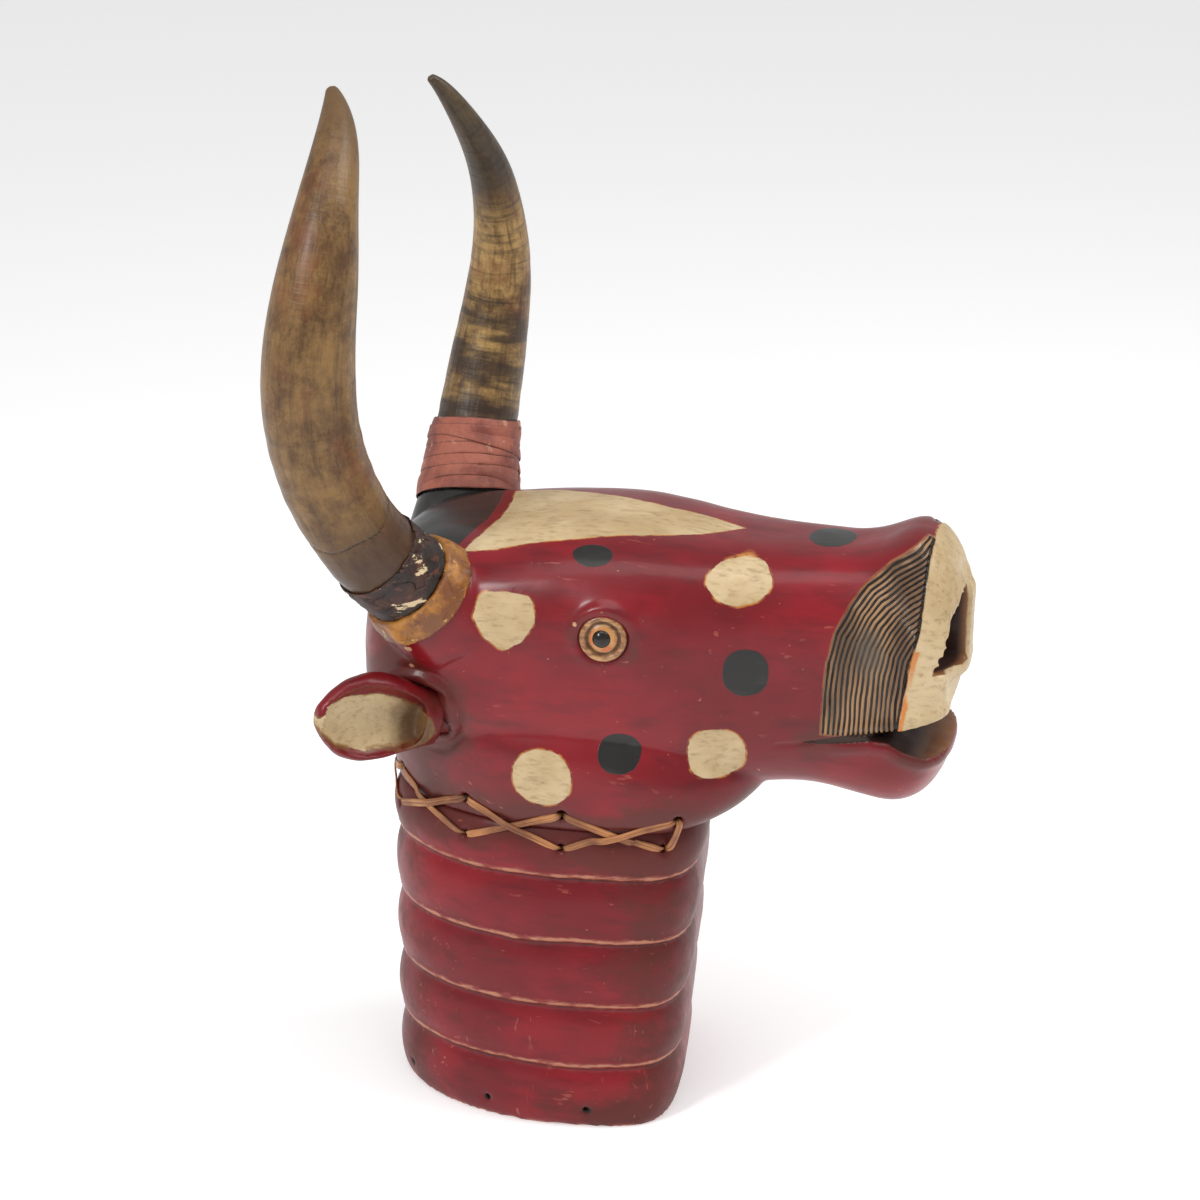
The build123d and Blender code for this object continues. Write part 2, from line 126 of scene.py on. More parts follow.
# start, rise in one turn, turns, width, crookedness, phase and lift of each run of leather
STRIP_RUNS = (
    (1, 10.8, 6.25, 14.5, 3.2, 0.4, 0.2),
    (16, -9.0, 1.25, 12.0, 8.0, 2.6, 1.0),
    (40, 12.0, 1.25, 11.0, 8.0, 4.4, 1.1),
    (60, -4.0, 1.25, 11.0, 4.0, 1.2, 0.9),
)
STRIP_SECTION = (  # share of half the width, and millimetres up
    (-1, 0), (-0.8, 0.75), (-0.35, 1), (0.2, 1), (0.7, 0.9), (1, 0.35), (1, -0.6), (0, -0.8), (-0.9, -0.7),
)
STRIP_FROM, STRIP_TO = -0.003, 0.0745  # metres along the left horn
FAR = -30.0  # a signed distance well outside every painted shape

# ---- mesh sizes, in millimetres -------------------------------------------
VOXEL = {"head": 2.4, "neck": 2.3, "horn": 1.7, "ear": 1.4, "resin": 1.3, "remains": 0.9}


# ---- mesh helpers ---------------------------------------------------------
def coords(mesh):
    flat = np.empty(len(mesh.vertices) * 3, np.float32)
    mesh.vertices.foreach_get("co", flat)
    return flat.reshape(-1, 3).astype(float)


def set_coords(mesh, points):
    mesh.vertices.foreach_set("co", points.astype(np.float32).ravel())
    mesh.update()


def normals(mesh):
    flat = np.empty(len(mesh.vertices) * 3, np.float32)
    mesh.vertex_normals.foreach_get("vector", flat)
    return flat.reshape(-1, 3).astype(float)


def edges_of(mesh):
    flat = np.empty(len(mesh.edges) * 2, np.int32)
    mesh.edges.foreach_get("vertices", flat)
    return flat.reshape(-1, 2)


def relax(mesh, rounds, share=0.5):
    """Moves each vertex towards the middle of its neighbours."""
    points, edges = coords(mesh), edges_of(mesh)
    count = np.bincount(edges.ravel(), minlength=len(points)).reshape(-1, 1)
    for _ in range(rounds):
        total = np.zeros_like(points)
        for axis in range(3):
            total[:, axis] = np.bincount(edges[:, 0], points[edges[:, 1], axis], len(points))
            total[:, axis] += np.bincount(edges[:, 1], points[edges[:, 0], axis], len(points))
        points += share * (total / np.maximum(count, 1) - points)
    set_coords(mesh, points)


def store(mesh, name, values):
    attribute = mesh.attributes.new(name, "FLOAT", "POINT")
    attribute.data.foreach_set("value", np.asarray(values, np.float32))


def store_vector(mesh, name, values):
    attribute = mesh.attributes.new(name, "FLOAT_VECTOR", "POINT")
    attribute.data.foreach_set("vector", np.asarray(values, np.float32).ravel())


def add_object(name, mesh):
    thing = bpy.data.objects.new(name, mesh)
    bpy.context.scene.collection.objects.link(thing)
    return thing


def shade_smooth(mesh):
    mesh.polygons.foreach_set("use_smooth", np.ones(len(mesh.polygons), bool))
    mesh.update()


def voxel_copy(node, name, voxel):
    """A copy of a CAD node's mesh, remeshed into even small quads that can be carved."""
    mesh = nodes[node].data.copy()
    mesh.materials.clear()
    thing = add_object(name, mesh)
    modifier = thing.modifiers.new("even", "REMESH")
    modifier.mode = "VOXEL"
    modifier.voxel_size = voxel * MM
    bpy.context.view_layer.update()
    depsgraph = bpy.context.evaluated_depsgraph_get()
    even = bpy.data.meshes.new_from_object(thing.evaluated_get(depsgraph))
    thing.modifiers.clear()
    thing.data = even
    even.name = name
    return thing


def start_carving(node, name, voxel, rounds):
    """An even copy of a CAD node, a little relaxed, with its points and outward normals."""
    thing = voxel_copy(node, name, voxel)
    relax(thing.data, rounds)
    return thing, coords(thing.data), normals(thing.data)


def carve(thing, points, outward, raised):
    """Moves the surface outwards by raised, in millimetres."""
    set_coords(thing.data, points + outward * (raised * MM)[:, None])


def finish_piece(thing, node, material):
    thing.data.materials.clear()
    thing.data.materials.append(material)
    shade_smooth(thing.data)
    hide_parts(node)
    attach(thing, "root")


def lumps(points, size, seed=0.0):
    """Smooth noise from -1 to 1 at each point; size is in metres."""
    shift = Vector((seed, seed * 0.7, -seed))
    return np.array([noise.noise(Vector(p) / size + shift) for p in points])


def tree_of(thing):
    mesh = thing.data
    return BVHTree.FromPolygons([v.co for v in mesh.vertices], [p.vertices for p in mesh.polygons])


# ---- distances ------------------------------------------------------------
def edge_distance(x, y, line, closed):
    """Distance from points to a line of straight runs."""
    line = list(line)
    ends = line[1:] + line[:1] if closed else line[1:]
    best = np.full(len(x), 1e9)
    for (ax, ay), (bx, by) in zip(line, ends):
        dx, dy = bx - ax, by - ay
        t = np.clip(((x - ax) * dx + (y - ay) * dy) / (dx * dx + dy * dy), 0, 1)
        best = np.minimum(best, np.hypot(x - ax - t * dx, y - ay - t * dy))
    return best


def inside(x, y, shape):
    """Signed distance to a closed shape, positive inside it."""
    within = np.zeros(len(x), bool)
    for (ax, ay), (bx, by) in zip(shape, shape[1:] + shape[:1]):
        crosses = (ay > y) != (by > y)
        reach = ax + (y - ay) * (bx - ax) / ((by - ay) or 1e-9)
        within ^= crosses & (x < reach)
    return np.where(within, 1, -1) * edge_distance(x, y, shape, True)


def inside_dot(x, y, dot):
    """Signed distance to a rounded dot, positive inside it."""
    cx, cy, rx, ry, power = dot
    reach = (np.abs((x - cx) / rx) ** power + np.abs((y - cy) / ry) ** power) ** (1 / power)
    return (1 - reach) * min(rx, ry)


def between(value, low, high):
    """Smooth step from 0 at low to 1 at high."""
    t = np.clip((value - low) / (high - low), 0, 1)
    return t * t * (3 - 2 * t)


def bell(value, width):
    """1 at 0, falling smoothly to almost 0 at twice the width."""
    return np.exp(-((value / width) ** 2))


def follow(line, height):
    """X of an upright line at each height."""
    return np.interp(height, [z for _, z in line], [x for x, _ in line])


# ---- materials ------------------------------------------------------------
class Finish:
    """A node-based material that is painted one layer at a time.

    Shares, strengths and noises are node sockets or numbers; colour holds what is painted so far.
    """

    def __init__(self, name, **fixed):
        self.material = bpy.data.materials.new(name)
        self.material.use_nodes = True
        self.tree = self.material.node_tree
        self.shader = self.tree.nodes["Principled BSDF"]
        for socket, value in fixed.items():
            self.shader.inputs[socket.replace("_", " ")].default_value = value
        self.place = self.node("ShaderNodeTexCoord").outputs["Object"]
        self.colour = None

    def node(self, kind, **settings):
        made = self.tree.nodes.new(kind)
        for key, value in settings.items():
            setattr(made, key, value)
        return made

    def put(self, socket, value):
        if isinstance(value, bpy.types.NodeSocket):
            self.tree.links.new(value, socket)
        elif isinstance(value, tuple) and len(value) == 3 and socket.type == "RGBA":
            socket.default_value = (*value, 1)
        else:
            socket.default_value = value

    def math(self, operation, a, b=0.0):
        made = self.node("ShaderNodeMath", operation=operation)
        self.put(made.inputs[0], a)
        self.put(made.inputs[1], b)
        return made.outputs[0]

    def times(self, a, b):
        return self.math("MULTIPLY", a, b)

    def total(self, *parts, start=0.0):
        """Sum of values, each times its weight."""
        for value, weight in parts:
            start = self.math("ADD", start, self.times(value, weight))
        return start

    def texture(self, kind, scale, stretch, **settings):
        """A texture node that reads the material's place, stretched along its axes."""
        mapping = self.node("ShaderNodeMapping")
        self.put(mapping.inputs["Vector"], self.place)
        mapping.inputs["Scale"].default_value = stretch
        made = self.node(kind, **settings)
        self.put(made.inputs["Vector"], mapping.outputs[0])
        made.inputs["Scale"].default_value = scale
        return made

    def noise(self, scale, stretch=(1, 1, 1), detail=4.0, roughness=0.55):
        made = self.texture("ShaderNodeTexNoise", scale, stretch)
        made.inputs["Detail"].default_value = detail
        made.inputs["Roughness"].default_value = roughness
        return made.outputs[0]

    def cells(self, scale, stretch=(1, 1, 1)):
        """Distance to the edges of irregular cells, for cracks."""
        made = self.texture("ShaderNodeTexVoronoi", scale, stretch, feature="DISTANCE_TO_EDGE")
        return made.outputs["Distance"]

    def attribute(self, name, output="Fac"):
        return self.node("ShaderNodeAttribute", attribute_name=name).outputs[output]

    def step(self, value, low, high):
        """Smooth step from 0 at low to 1 at high; low may be the larger of the two."""
        made = self.node("ShaderNodeMapRange", interpolation_type="SMOOTHSTEP")
        self.put(made.inputs["Value"], value)
        made.inputs["From Min"].default_value = low
        made.inputs["From Max"].default_value = high
        return made.outputs[0]

    def spots(self, scale, low, high, stretch=(1, 1, 1), detail=4.0, roughness=0.55):
        """Noise made into patches: none below low, full above high."""
        return self.step(self.noise(scale, stretch, detail, roughness), low, high)

    def ragged(self, name, amount, scale=260, stretch=(1, 1, 1), detail=4.0):
        """A stored value whose edge wanders by up to amount."""
        wander = self.math("SUBTRACT", self.noise(scale, stretch, detail), 0.5)
        return self.total((wander, 2 * amount), start=self.attribute(name))

    def mix(self, share, a, b):
        made = self.node("ShaderNodeMix", data_type="RGBA")
        self.put(made.inputs[0], share)
        self.put(made.inputs[6], a)
        self.put(made.inputs[7], b)
        return made.outputs[2]

    def paint(self, share, colour, strength=1.0):
        """Lays a colour over what is painted so far."""
        self.colour = self.mix(self.times(share, strength), self.colour, colour)

    def finish(self, roughness=None, height=None, depth=0.0005):
        self.put(self.shader.inputs["Base Color"], self.colour)
        if roughness is not None:
            self.put(self.shader.inputs["Roughness"], roughness)
        if height is not None:
            bump = self.node("ShaderNodeBump")
            bump.inputs["Strength"].default_value = 1.0
            bump.inputs["Distance"].default_value = depth
            self.put(bump.inputs["Height"], height)
            self.put(self.shader.inputs["Normal"], bump.outputs[0])
        return self.material


RED, RED_LIGHT, RED_DARK = (0.150, 0.003, 0.007), (0.235, 0.005, 0.011), (0.060, 0.003, 0.005)
BROWN_RED, HOLLOW_SHADE = (0.088, 0.014, 0.009), (0.030, 0.010, 0.006)
CREAM, CREAM_LIGHT, CREAM_BROWN = (0.44, 0.31, 0.155), (0.60, 0.46, 0.27), (0.22, 0.12, 0.045)
OCHRE, BLACK, SOOT_AND_SHADE = (0.45, 0.17, 0.035), (0.014, 0.013, 0.012), (0.012, 0.008, 0.006)


def red_paint(f):
    """Worn satin red, browner where grime and painted shade lie; gives back the grain and the share of grime
    and shade, for the roughness and the height.
    """
    grain = f.noise(90, (0.25, 1, 1), detail=5)
    f.colour = f.mix(f.spots(9, 0.38, 0.66, detail=3), RED, RED_LIGHT)
    f.paint(f.step(grain, 0.45, 0.75), RED_DARK, 0.45)
    patches = f.noise(26, (0.6, 1, 1), detail=6, roughness=0.65)
    # browner where the stored value is high: grime, with painted shade in the creases
    grimy_and_shaded = f.step(f.total((f.attribute("grime_and_shade"), 0.42), start=patches), 0.60, 0.86)
    f.paint(grimy_and_shaded, BROWN_RED, 0.85)
    scratches = f.spots(330, 0.66, 0.72, (0.12, 1, 0.5), detail=2)
    f.paint(f.times(scratches, f.spots(20, 0.45, 0.65)), (0.42, 0.10, 0.075), 0.5)
    f.paint(f.spots(210, 0.735, 0.76, detail=3), (0.50, 0.22, 0.12), 0.7)
    return grain, grimy_and_shaded


def cream_paint(f, along=(0.3, 1, 1)):
    """Dry cream paint with brown grain showing through: its colour and its grain."""
    grain = f.noise(240, along, detail=6, roughness=0.7)
    cream = f.mix(f.spots(14, 0.35, 0.7), CREAM, CREAM_LIGHT)
    cream = f.mix(f.times(f.step(grain, 0.46, 0.76), 0.6), cream, CREAM_BROWN)
    stains = f.spots(34, 0.52, 0.74, detail=6, roughness=0.7)
    return f.mix(f.times(stains, 0.5), cream, (0.42, 0.27, 0.11)), grain


def bare_inside(f):
    """Unpainted wood wherever the mesh says that it is inside the hollow."""
    grain = f.spots(60, 0.35, 0.7, (1, 1, 0.15), detail=6)
    f.paint(f.attribute("inner"), f.mix(grain, (0.10, 0.055, 0.028), (0.22, 0.13, 0.065)))


def comb_band(f):
    """Dark grooves between tan ridges, rubbed grey in the middle by wear and a painted sheen, with a worn
    outline.
    """
    wave = f.math("PINGPONG", f.attribute("comb_across"), COMB_PITCH / 2)
    ridge = f.step(f.total((f.noise(170, (1, 1, 0.4)), 0.8), start=wave), 1.75, 1.05)
    tan = f.mix(f.spots(45, 0.35, 0.68, (1, 1, 0.25), detail=6), (0.12, 0.060, 0.028), (0.38, 0.21, 0.095))
    comb = f.mix(ridge, (0.016, 0.010, 0.007), tan)
    # grey in the middle of the band: wear, with a painted sheen
    rubbed_sheen = f.times(f.step(f.attribute("comb_rub_sheen"), 0.25, 0.9), f.spots(40, 0.3, 0.6, (1, 1, 0.5)))
    comb = f.mix(f.times(rubbed_sheen, 0.75), comb, (0.095, 0.075, 0.055))
    outline = f.times(f.step(f.attribute("comb"), -1.6, -0.6), f.spots(60, 0.3, 0.55))
    f.paint(outline, (0.30, 0.13, 0.045), 0.6)
    f.paint(f.step(f.ragged("comb", 0.35, 200), -0.2, 0.4), comb)


def head_material():
    f = Finish("head_paint", Coat_Weight=0.30, Coat_Roughness=0.18, Specular_IOR_Level=0.25)
    grain, grimy_and_shaded = red_paint(f)
    black = f.step(f.ragged("black", 0.7, 200), -0.2, 0.5)
    f.paint(black, f.mix(f.spots(120, 0.5, 0.85, (0.3, 1, 1)), BLACK, (0.030, 0.027, 0.025)))

    cream, cream_grain = cream_paint(f)
    cream_edge = f.ragged("cream", 1.1, 230, (0.5, 1, 1))
    cream_on = f.step(cream_edge, -0.2, 0.6)
    f.paint(f.times(f.step(cream_edge, -1.6, -0.4), f.spots(75, 0.40, 0.6)), OCHRE)
    f.paint(cream_on, cream)

    comb_band(f)
    ochre = f.times(f.step(f.ragged("ochre", 1.8, 90), -0.6, 1.0), f.spots(44, 0.40, 0.56, (1, 1, 0.5)))
    f.paint(ochre, (0.56, 0.17, 0.024), 0.9)
    crack = f.times(f.step(f.ragged("crack", 1.1, 110), -0.5, 0.3), f.spots(38, 0.38, 0.46, (1, 1, 0.6)))
    f.paint(crack, SOOT_AND_SHADE)

    hollow = f.step(f.ragged("hollow", 0.5, 200), -0.3, 0.5)
    wood = f.mix(f.spots(40, 0.38, 0.7, (1, 1, 0.4), detail=5), (0.10, 0.016, 0.010), (0.20, 0.075, 0.028))
    wood = f.mix(0.5, wood, (0.30, 0.14, 0.05))
    # deeper in the mouth and nostrils the wood darkens towards umber: painted shade
    f.paint(hollow, f.mix(f.step(f.attribute("depth"), 2.0, 11.0), wood, HOLLOW_SHADE))

    chips = f.step(f.ragged("chip", 1.6, 170), 0.0, 0.5)
    f.paint(chips, f.mix(f.spots(120, 0.4, 0.65, (0.3, 1, 1)), (0.30, 0.10, 0.04), (0.60, 0.36, 0.20)))
    bare_inside(f)

    matt = f.math("MAXIMUM", hollow, f.attribute("inner"))
    rough = f.total((f.noise(38, detail=5), 0.30), (cream_on, 0.22), (grimy_and_shaded, 0.14), (matt, 0.3), start=0.22)
    height = f.total(
        (grain, 0.35), (f.noise(420, (0.5, 1, 1), detail=3), 0.12), (cream_on, 0.35), (black, 0.35),
        (f.times(cream_on, f.step(cream_grain, 0.5, 0.8)), -0.5), (chips, -0.8), (crack, -1.6),
        (f.spots(27, 0.66, 0.70, (1, 1.3, 0.7)), -0.25),
    )
    return f.finish(rough, height, 0.0006)


def neck_material():
    f = Finish("neck_paint", Coat_Weight=0.22, Coat_Roughness=0.22, Specular_IOR_Level=0.22)
    grain, grimy_and_shaded = red_paint(f)
    edge = f.ragged("edge", 0.95, 70, (1, 1, 3), detail=6)
    # lighter red, then pale pinkish tan, along the top edge of each roll: a painted highlight
    f.paint(f.step(edge, 0.30, 0.62), (0.24, 0.045, 0.03), 0.7)
    f.paint(f.step(edge, 0.62, 0.95), (0.50, 0.22, 0.13), 0.75)
    # a dark line in the crease under each roll's edge: painted shade
    f.paint(f.step(f.ragged("groove", 0.3, 60), 0.45, 0.9), (0.035, 0.010, 0.008), 0.75)
    drips = f.times(f.spots(130, 0.66, 0.71, (1, 1, 0.12), detail=3), f.spots(16, 0.5, 0.62))
    f.paint(drips, (0.45, 0.19, 0.12), 0.45)
    # the tie holes' walls and rims painted near-black: painted shade
    f.paint(f.step(f.attribute("hole"), -0.8, 0.6), SOOT_AND_SHADE)
    bare_inside(f)
    matt = f.math("MAXIMUM", f.attribute("inner"), grimy_and_shaded)
    rough = f.total((f.noise(34, detail=5), 0.32), (matt, 0.2), start=0.24)
    height = f.total((grain, 0.5), (f.noise(300, detail=3), 0.2), (f.cells(16, (1, 1, 0.6)), -0.25))
    return f.finish(rough, height, 0.0007)


def ear_material():
    f = Finish("ear_paint", Coat_Weight=0.22, Coat_Roughness=0.22, Specular_IOR_Level=0.25)
    grain, _ = red_paint(f)
    edge = f.ragged("hollow", 1.3, 180)
    inner = f.step(edge, -0.4, 0.8)
    f.paint(f.times(f.step(edge, -2.6, -1.0), f.spots(80, 0.35, 0.55)), (0.16, 0.055, 0.025))
    cream, cream_grain = cream_paint(f, (1, 0.25, 1))
    # the cream darkens towards the ear's root
    hollow_darkening = f.step(f.total((f.noise(60, detail=5), 0.9), start=f.attribute("hollow_darkening")), 0.60, 1.35)
    cream = f.mix(f.times(hollow_darkening, 0.9), cream, (0.10, 0.045, 0.018))
    worn = f.times(f.step(edge, 3.5, 0.8), f.spots(55, 0.42, 0.62, detail=5))
    f.paint(inner, f.mix(worn, cream, (0.22, 0.11, 0.03)))
    rough = f.total((f.noise(40, detail=5), 0.3), (inner, 0.3), start=0.25)
    height = f.total((grain, 0.4), (f.times(cream_grain, inner), -0.9))
    return f.finish(rough, height, 0.0007)


def horn_material(name, dark_tip):
    """Natural horn in its own straightened frame: streaks run along it and rings round it."""
    f = Finish(name, Coat_Weight=0.08, Coat_Roughness=0.22, Specular_IOR_Level=0.32)
    f.place = f.attribute("lay", "Vector")
    share = f.attribute("share")
    streak = f.noise(210, (1, 1, 0.09), detail=6, roughness=0.65)
    ring = f.noise(150, (0.12, 0.12, 1.5), detail=5)
    blotch = f.noise(30, (1, 1, 0.8), detail=9, roughness=0.78)
    fibres = f.noise(420, (1, 1, 0.04), detail=3)
    if dark_tip:
        pale, middle, dark = (0.42, 0.26, 0.088), (0.110, 0.050, 0.016), (0.014, 0.008, 0.005)
        tip, tip_from, tip_to = (0.022, 0.017, 0.013), 0.62, 0.74
        streaky, ringed = 0.6, 0.65
    else:
        pale, middle, dark = (0.235, 0.130, 0.042), (0.080, 0.036, 0.012), (0.028, 0.012, 0.006)
        tip, tip_from, tip_to = (0.12, 0.065, 0.026), 0.80, 0.97
        streaky, ringed = 0.45, 0.14
    f.colour = f.mix(f.step(blotch, 0.36, 0.64), middle, pale)
    f.paint(f.step(streak, 0.46, 0.72), dark, streaky)
    f.paint(f.step(ring, 0.50, 0.72), dark, ringed)
    f.paint(f.spots(17, 0.50, 0.66, detail=6, roughness=0.65), (0.150, 0.040, 0.014), 0.55)
    f.paint(f.times(f.step(fibres, 0.55, 0.8), f.spots(11, 0.45, 0.62)), (0.30, 0.21, 0.11), 0.40)
    low = f.total((blotch, 0.45), start=f.step(share, 0.36, 0.08))
    f.paint(f.step(low, 0.45, 1.15), (0.050, 0.022, 0.012), 0.8)
    high = f.total((f.math("SUBTRACT", blotch, 0.5), 0.22), start=share)
    f.paint(f.step(high, tip_from, tip_to), tip, 0.85)
    if dark_tip:
        bands = f.times(f.spots(30, 0.46, 0.58, (0.25, 0.25, 1), detail=6), f.step(share, 0.52, 0.38))
        f.paint(bands, (0.024, 0.013, 0.009), 0.85)
    f.paint(f.times(f.step(f.attribute("crack"), 0.4, 0.9), f.spots(90, 0.36, 0.5)), (0.018, 0.011, 0.007))
    rough = f.total((f.noise(70, (1, 1, 0.2), detail=5), 0.35), start=0.20)
    return f.finish(rough, f.total((streak, 0.6), (fibres, 0.35), (ring, 0.8)), 0.0009)


def resin_material():
    f = Finish("resin", Coat_Weight=0.15, Coat_Roughness=0.3)
    broad = f.noise(45, detail=6, roughness=0.65)
    f.colour = f.mix(f.step(broad, 0.40, 0.66), (0.17, 0.052, 0.008), (0.42, 0.17, 0.022))
    f.paint(f.spots(130, 0.62, 0.70, detail=5), (0.60, 0.38, 0.11), 0.7)
    crack = f.times(f.step(f.cells(42, (1, 1, 1.6)), 0.05, 0.01), f.spots(50, 0.46, 0.54))
    f.paint(crack, (0.06, 0.020, 0.006), 0.35)
    f.paint(f.spots(30, 0.60, 0.70), (0.06, 0.022, 0.010))
    return f.finish(f.total((broad, 0.3), start=0.35), f.total((crack, -0.2), start=broad), 0.0014)


def remains_material():
    f = Finish("leather_remains")
    broad = f.noise(38, detail=6, roughness=0.65)
    f.colour = f.mix(f.step(broad, 0.42, 0.66), (0.012, 0.006, 0.004), (0.060, 0.020, 0.012))
    f.paint(f.spots(70, 0.57, 0.64, (1, 1, 2), detail=5), (0.13, 0.038, 0.020), 0.7)
    chips = f.spots(34, 0.615, 0.635, (1, 1, 2.4), detail=6, roughness=0.62)
    f.paint(chips, (0.66, 0.50, 0.30))
    height = f.total((chips, -0.7), start=f.noise(150, detail=5))
    return f.finish(f.total((broad, 0.4), start=0.35), height, 0.0011)


def leather_material():
    f = Finish("leather_strip", Sheen_Weight=0.08)
    broad, pores = f.noise(42, detail=5), f.noise(650, detail=3)
    f.colour = f.mix(f.step(broad, 0.36, 0.66), (0.17, 0.036, 0.022), (0.34, 0.095, 0.055))
    f.paint(f.step(pores, 0.52, 0.72), (0.12, 0.030, 0.020), 0.5)
    edge = f.step(f.total((f.noise(120), 0.3), start=f.attribute("rim")), 0.92, 1.15)
    f.paint(edge, (0.060, 0.018, 0.013), 0.8)
    f.paint(f.spots(95, 0.63, 0.70, detail=5), (0.50, 0.26, 0.17), 0.6)
    return f.finish(f.total((pores, 0.25), start=0.50), f.total((pores, 0.4), (broad, 0.8)), 0.0007)


def lace_material():
    """Split rawhide: fibres run along the strip."""
    f = Finish("rawhide")
    f.place = f.attribute("lay", "Vector")
    fibre = f.noise(900, (1, 0.03, 1))
    f.colour = f.mix(f.spots(55, 0.35, 0.66, (1, 0.4, 1)), (0.20, 0.062, 0.018), (0.50, 0.205, 0.066))
    f.paint(f.step(fibre, 0.47, 0.68), (0.10, 0.034, 0.014), 0.7)
    f.paint(f.spots(120, 0.62, 0.7, (1, 0.1, 1)), (0.62, 0.36, 0.17), 0.4)
    # darker where the lace dips into the holes and runs inside the wood: painted shade
    f.paint(f.step(f.attribute("tuck"), 0.2, 0.9), (0.030, 0.014, 0.008), 0.85)
    return f.finish(f.total((fibre, 0.3), start=0.34), fibre, 0.0006)


def eye_material():
    f = Finish("eye_wood", Coat_Weight=0.25, Coat_Roughness=0.2)
    ring = f.attribute("ring")
    grain = f.noise(240, (0.4, 1, 1))
    f.colour = f.mix(f.step(grain, 0.38, 0.66), (0.22, 0.090, 0.032), (0.52, 0.28, 0.115))
    iris = f.mix(f.spots(130, 0.42, 0.62), (0.50, 0.13, 0.025), (0.50, 0.24, 0.075))
    f.paint(f.step(ring, 11.0, 9.6), iris)
    f.paint(f.times(f.step(ring, 10.8, 12.0), f.step(ring, 14.2, 12.8)), (0.045, 0.016, 0.008), 0.8)
    f.paint(f.step(ring, 17.4, 18.8), (0.11, 0.012, 0.010))
    return f.finish(f.total((grain, 0.2), start=0.25), f.total((f.noise(90), 0.6), start=grain), 0.0004)


def pupil_material():
    f = Finish("pupil", Coat_Weight=0.4, Coat_Roughness=0.05, Roughness=0.2, Specular_IOR_Level=0.25)
    broad = f.noise(300, detail=3)
    f.colour = f.mix(f.step(broad, 0.45, 0.75), (0.008, 0.006, 0.005), (0.022, 0.014, 0.010))
    return f.finish(None, broad, 0.0001)


def core_material():
    f = Finish("bare_wood", Roughness=0.7)
    grain = f.noise(80, (1, 1, 0.1), detail=6)
    f.colour = f.mix(f.step(grain, 0.35, 0.7), (0.18, 0.10, 0.05), (0.40, 0.27, 0.14))
    return f.finish(None, grain, 0.0005)


# ---- neck outline ---------------------------------------------------------
def neck_outline(height):
    front = NECK_FRONT + NECK_LEAN * height / SEAM_Z
    points = []
    for i in range(OUTLINE_POINTS):
        angle = math.pi + 2 * math.pi * i / OUTLINE_POINTS
        c, s = math.cos(angle), math.sin(angle)
        power = FRONT_POWER if c > 0 else BACK_POWER
        reach = front - NECK_WIDEST if c > 0 else NECK_WIDEST + NECK_BACK
        x = NECK_WIDEST + math.copysign(abs(c) ** (2 / power), c) * reach
        y = math.copysign(abs(s) ** (2 / power), s) * NECK_HALF
        points.append((
            x * math.cos(NECK_TWIST) - y * math.sin(NECK_TWIST),
            x * math.sin(NECK_TWIST) + y * math.cos(NECK_TWIST),
        ))
    return points


def neck_reach(points):
    """How far out each point is in plan, where 1 is the neck's outer face; points in millimetres."""
    c, s = math.cos(-NECK_TWIST), math.sin(-NECK_TWIST)
    x, y = points[:, 0] * c - points[:, 1] * s, points[:, 0] * s + points[:, 1] * c
    front = NECK_FRONT + NECK_LEAN * np.clip(points[:, 2] / SEAM_Z, 0, 1)
    ahead = x > NECK_WIDEST
    reach = np.where(ahead, front - NECK_WIDEST, NECK_WIDEST + NECK_BACK)
    power = np.where(ahead, FRONT_POWER, BACK_POWER)
    return (np.abs((x - NECK_WIDEST) / reach) ** power + np.abs(y / NECK_HALF) ** power) ** (1 / power)


# ---- head -----------------------------------------------------------------
def comb_area(points):
    """Signed distances for the combed band and its lines, on both sides of the muzzle."""
    x, y, z = points.T
    along_left = edge_distance(x, z, COMB_LEFT, False)
    right_of = np.where(x > follow(COMB_LEFT, z), 1, -1)
    across = along_left * right_of
    to_nose = follow(COMB_RIGHT, z) - x
    within = np.minimum(np.minimum(across, to_nose), np.minimum(z - LIP_Z + 5, COMB_TOP - z))
    within = np.minimum(within, np.abs(y) - COMB_INNER)
    return within, across, to_nose


def rim_distances(mm):
    """How far points are from the nostrils' rims and from the right side of the mouth's rim."""
    x, y, z = mm.T
    nostril = np.abs(inside(np.abs(y), z, NOSTRIL)) + np.clip(NOSTRIL_FLOOR - x, 0, None)
    mouth = np.abs(inside(x, z, MOUTH)) + np.clip(y + MOUTH_SIDE, 0, None)
    return nostril, mouth


def refine(mesh):
    """Splits the faces of the comb band and round the rims, and softens the rims."""
    mm = coords(mesh) / MM
    nostril, mouth = rim_distances(mm)
    wanted = (comb_area(mm)[0] > -2.5) | (nostril < 6.0) | (mouth < 4.2)
    fine = bmesh.new()
    fine.from_mesh(mesh)
    chosen = [e for e in fine.edges if wanted[e.verts[0].index] and wanted[e.verts[1].index]]
    bmesh.ops.subdivide_edges(fine, edges=chosen, cuts=2, use_grid_fill=True)
    fine.to_mesh(mesh)
    fine.free()
    before = coords(mesh)
    nostril, mouth = rim_distances(before / MM)
    relax(mesh, 36)
    share = np.maximum(between(nostril, 5.2, 2.2), between(mouth, 3.6, 1.6))[:, None]
    set_coords(mesh, before + share * (coords(mesh) - before))


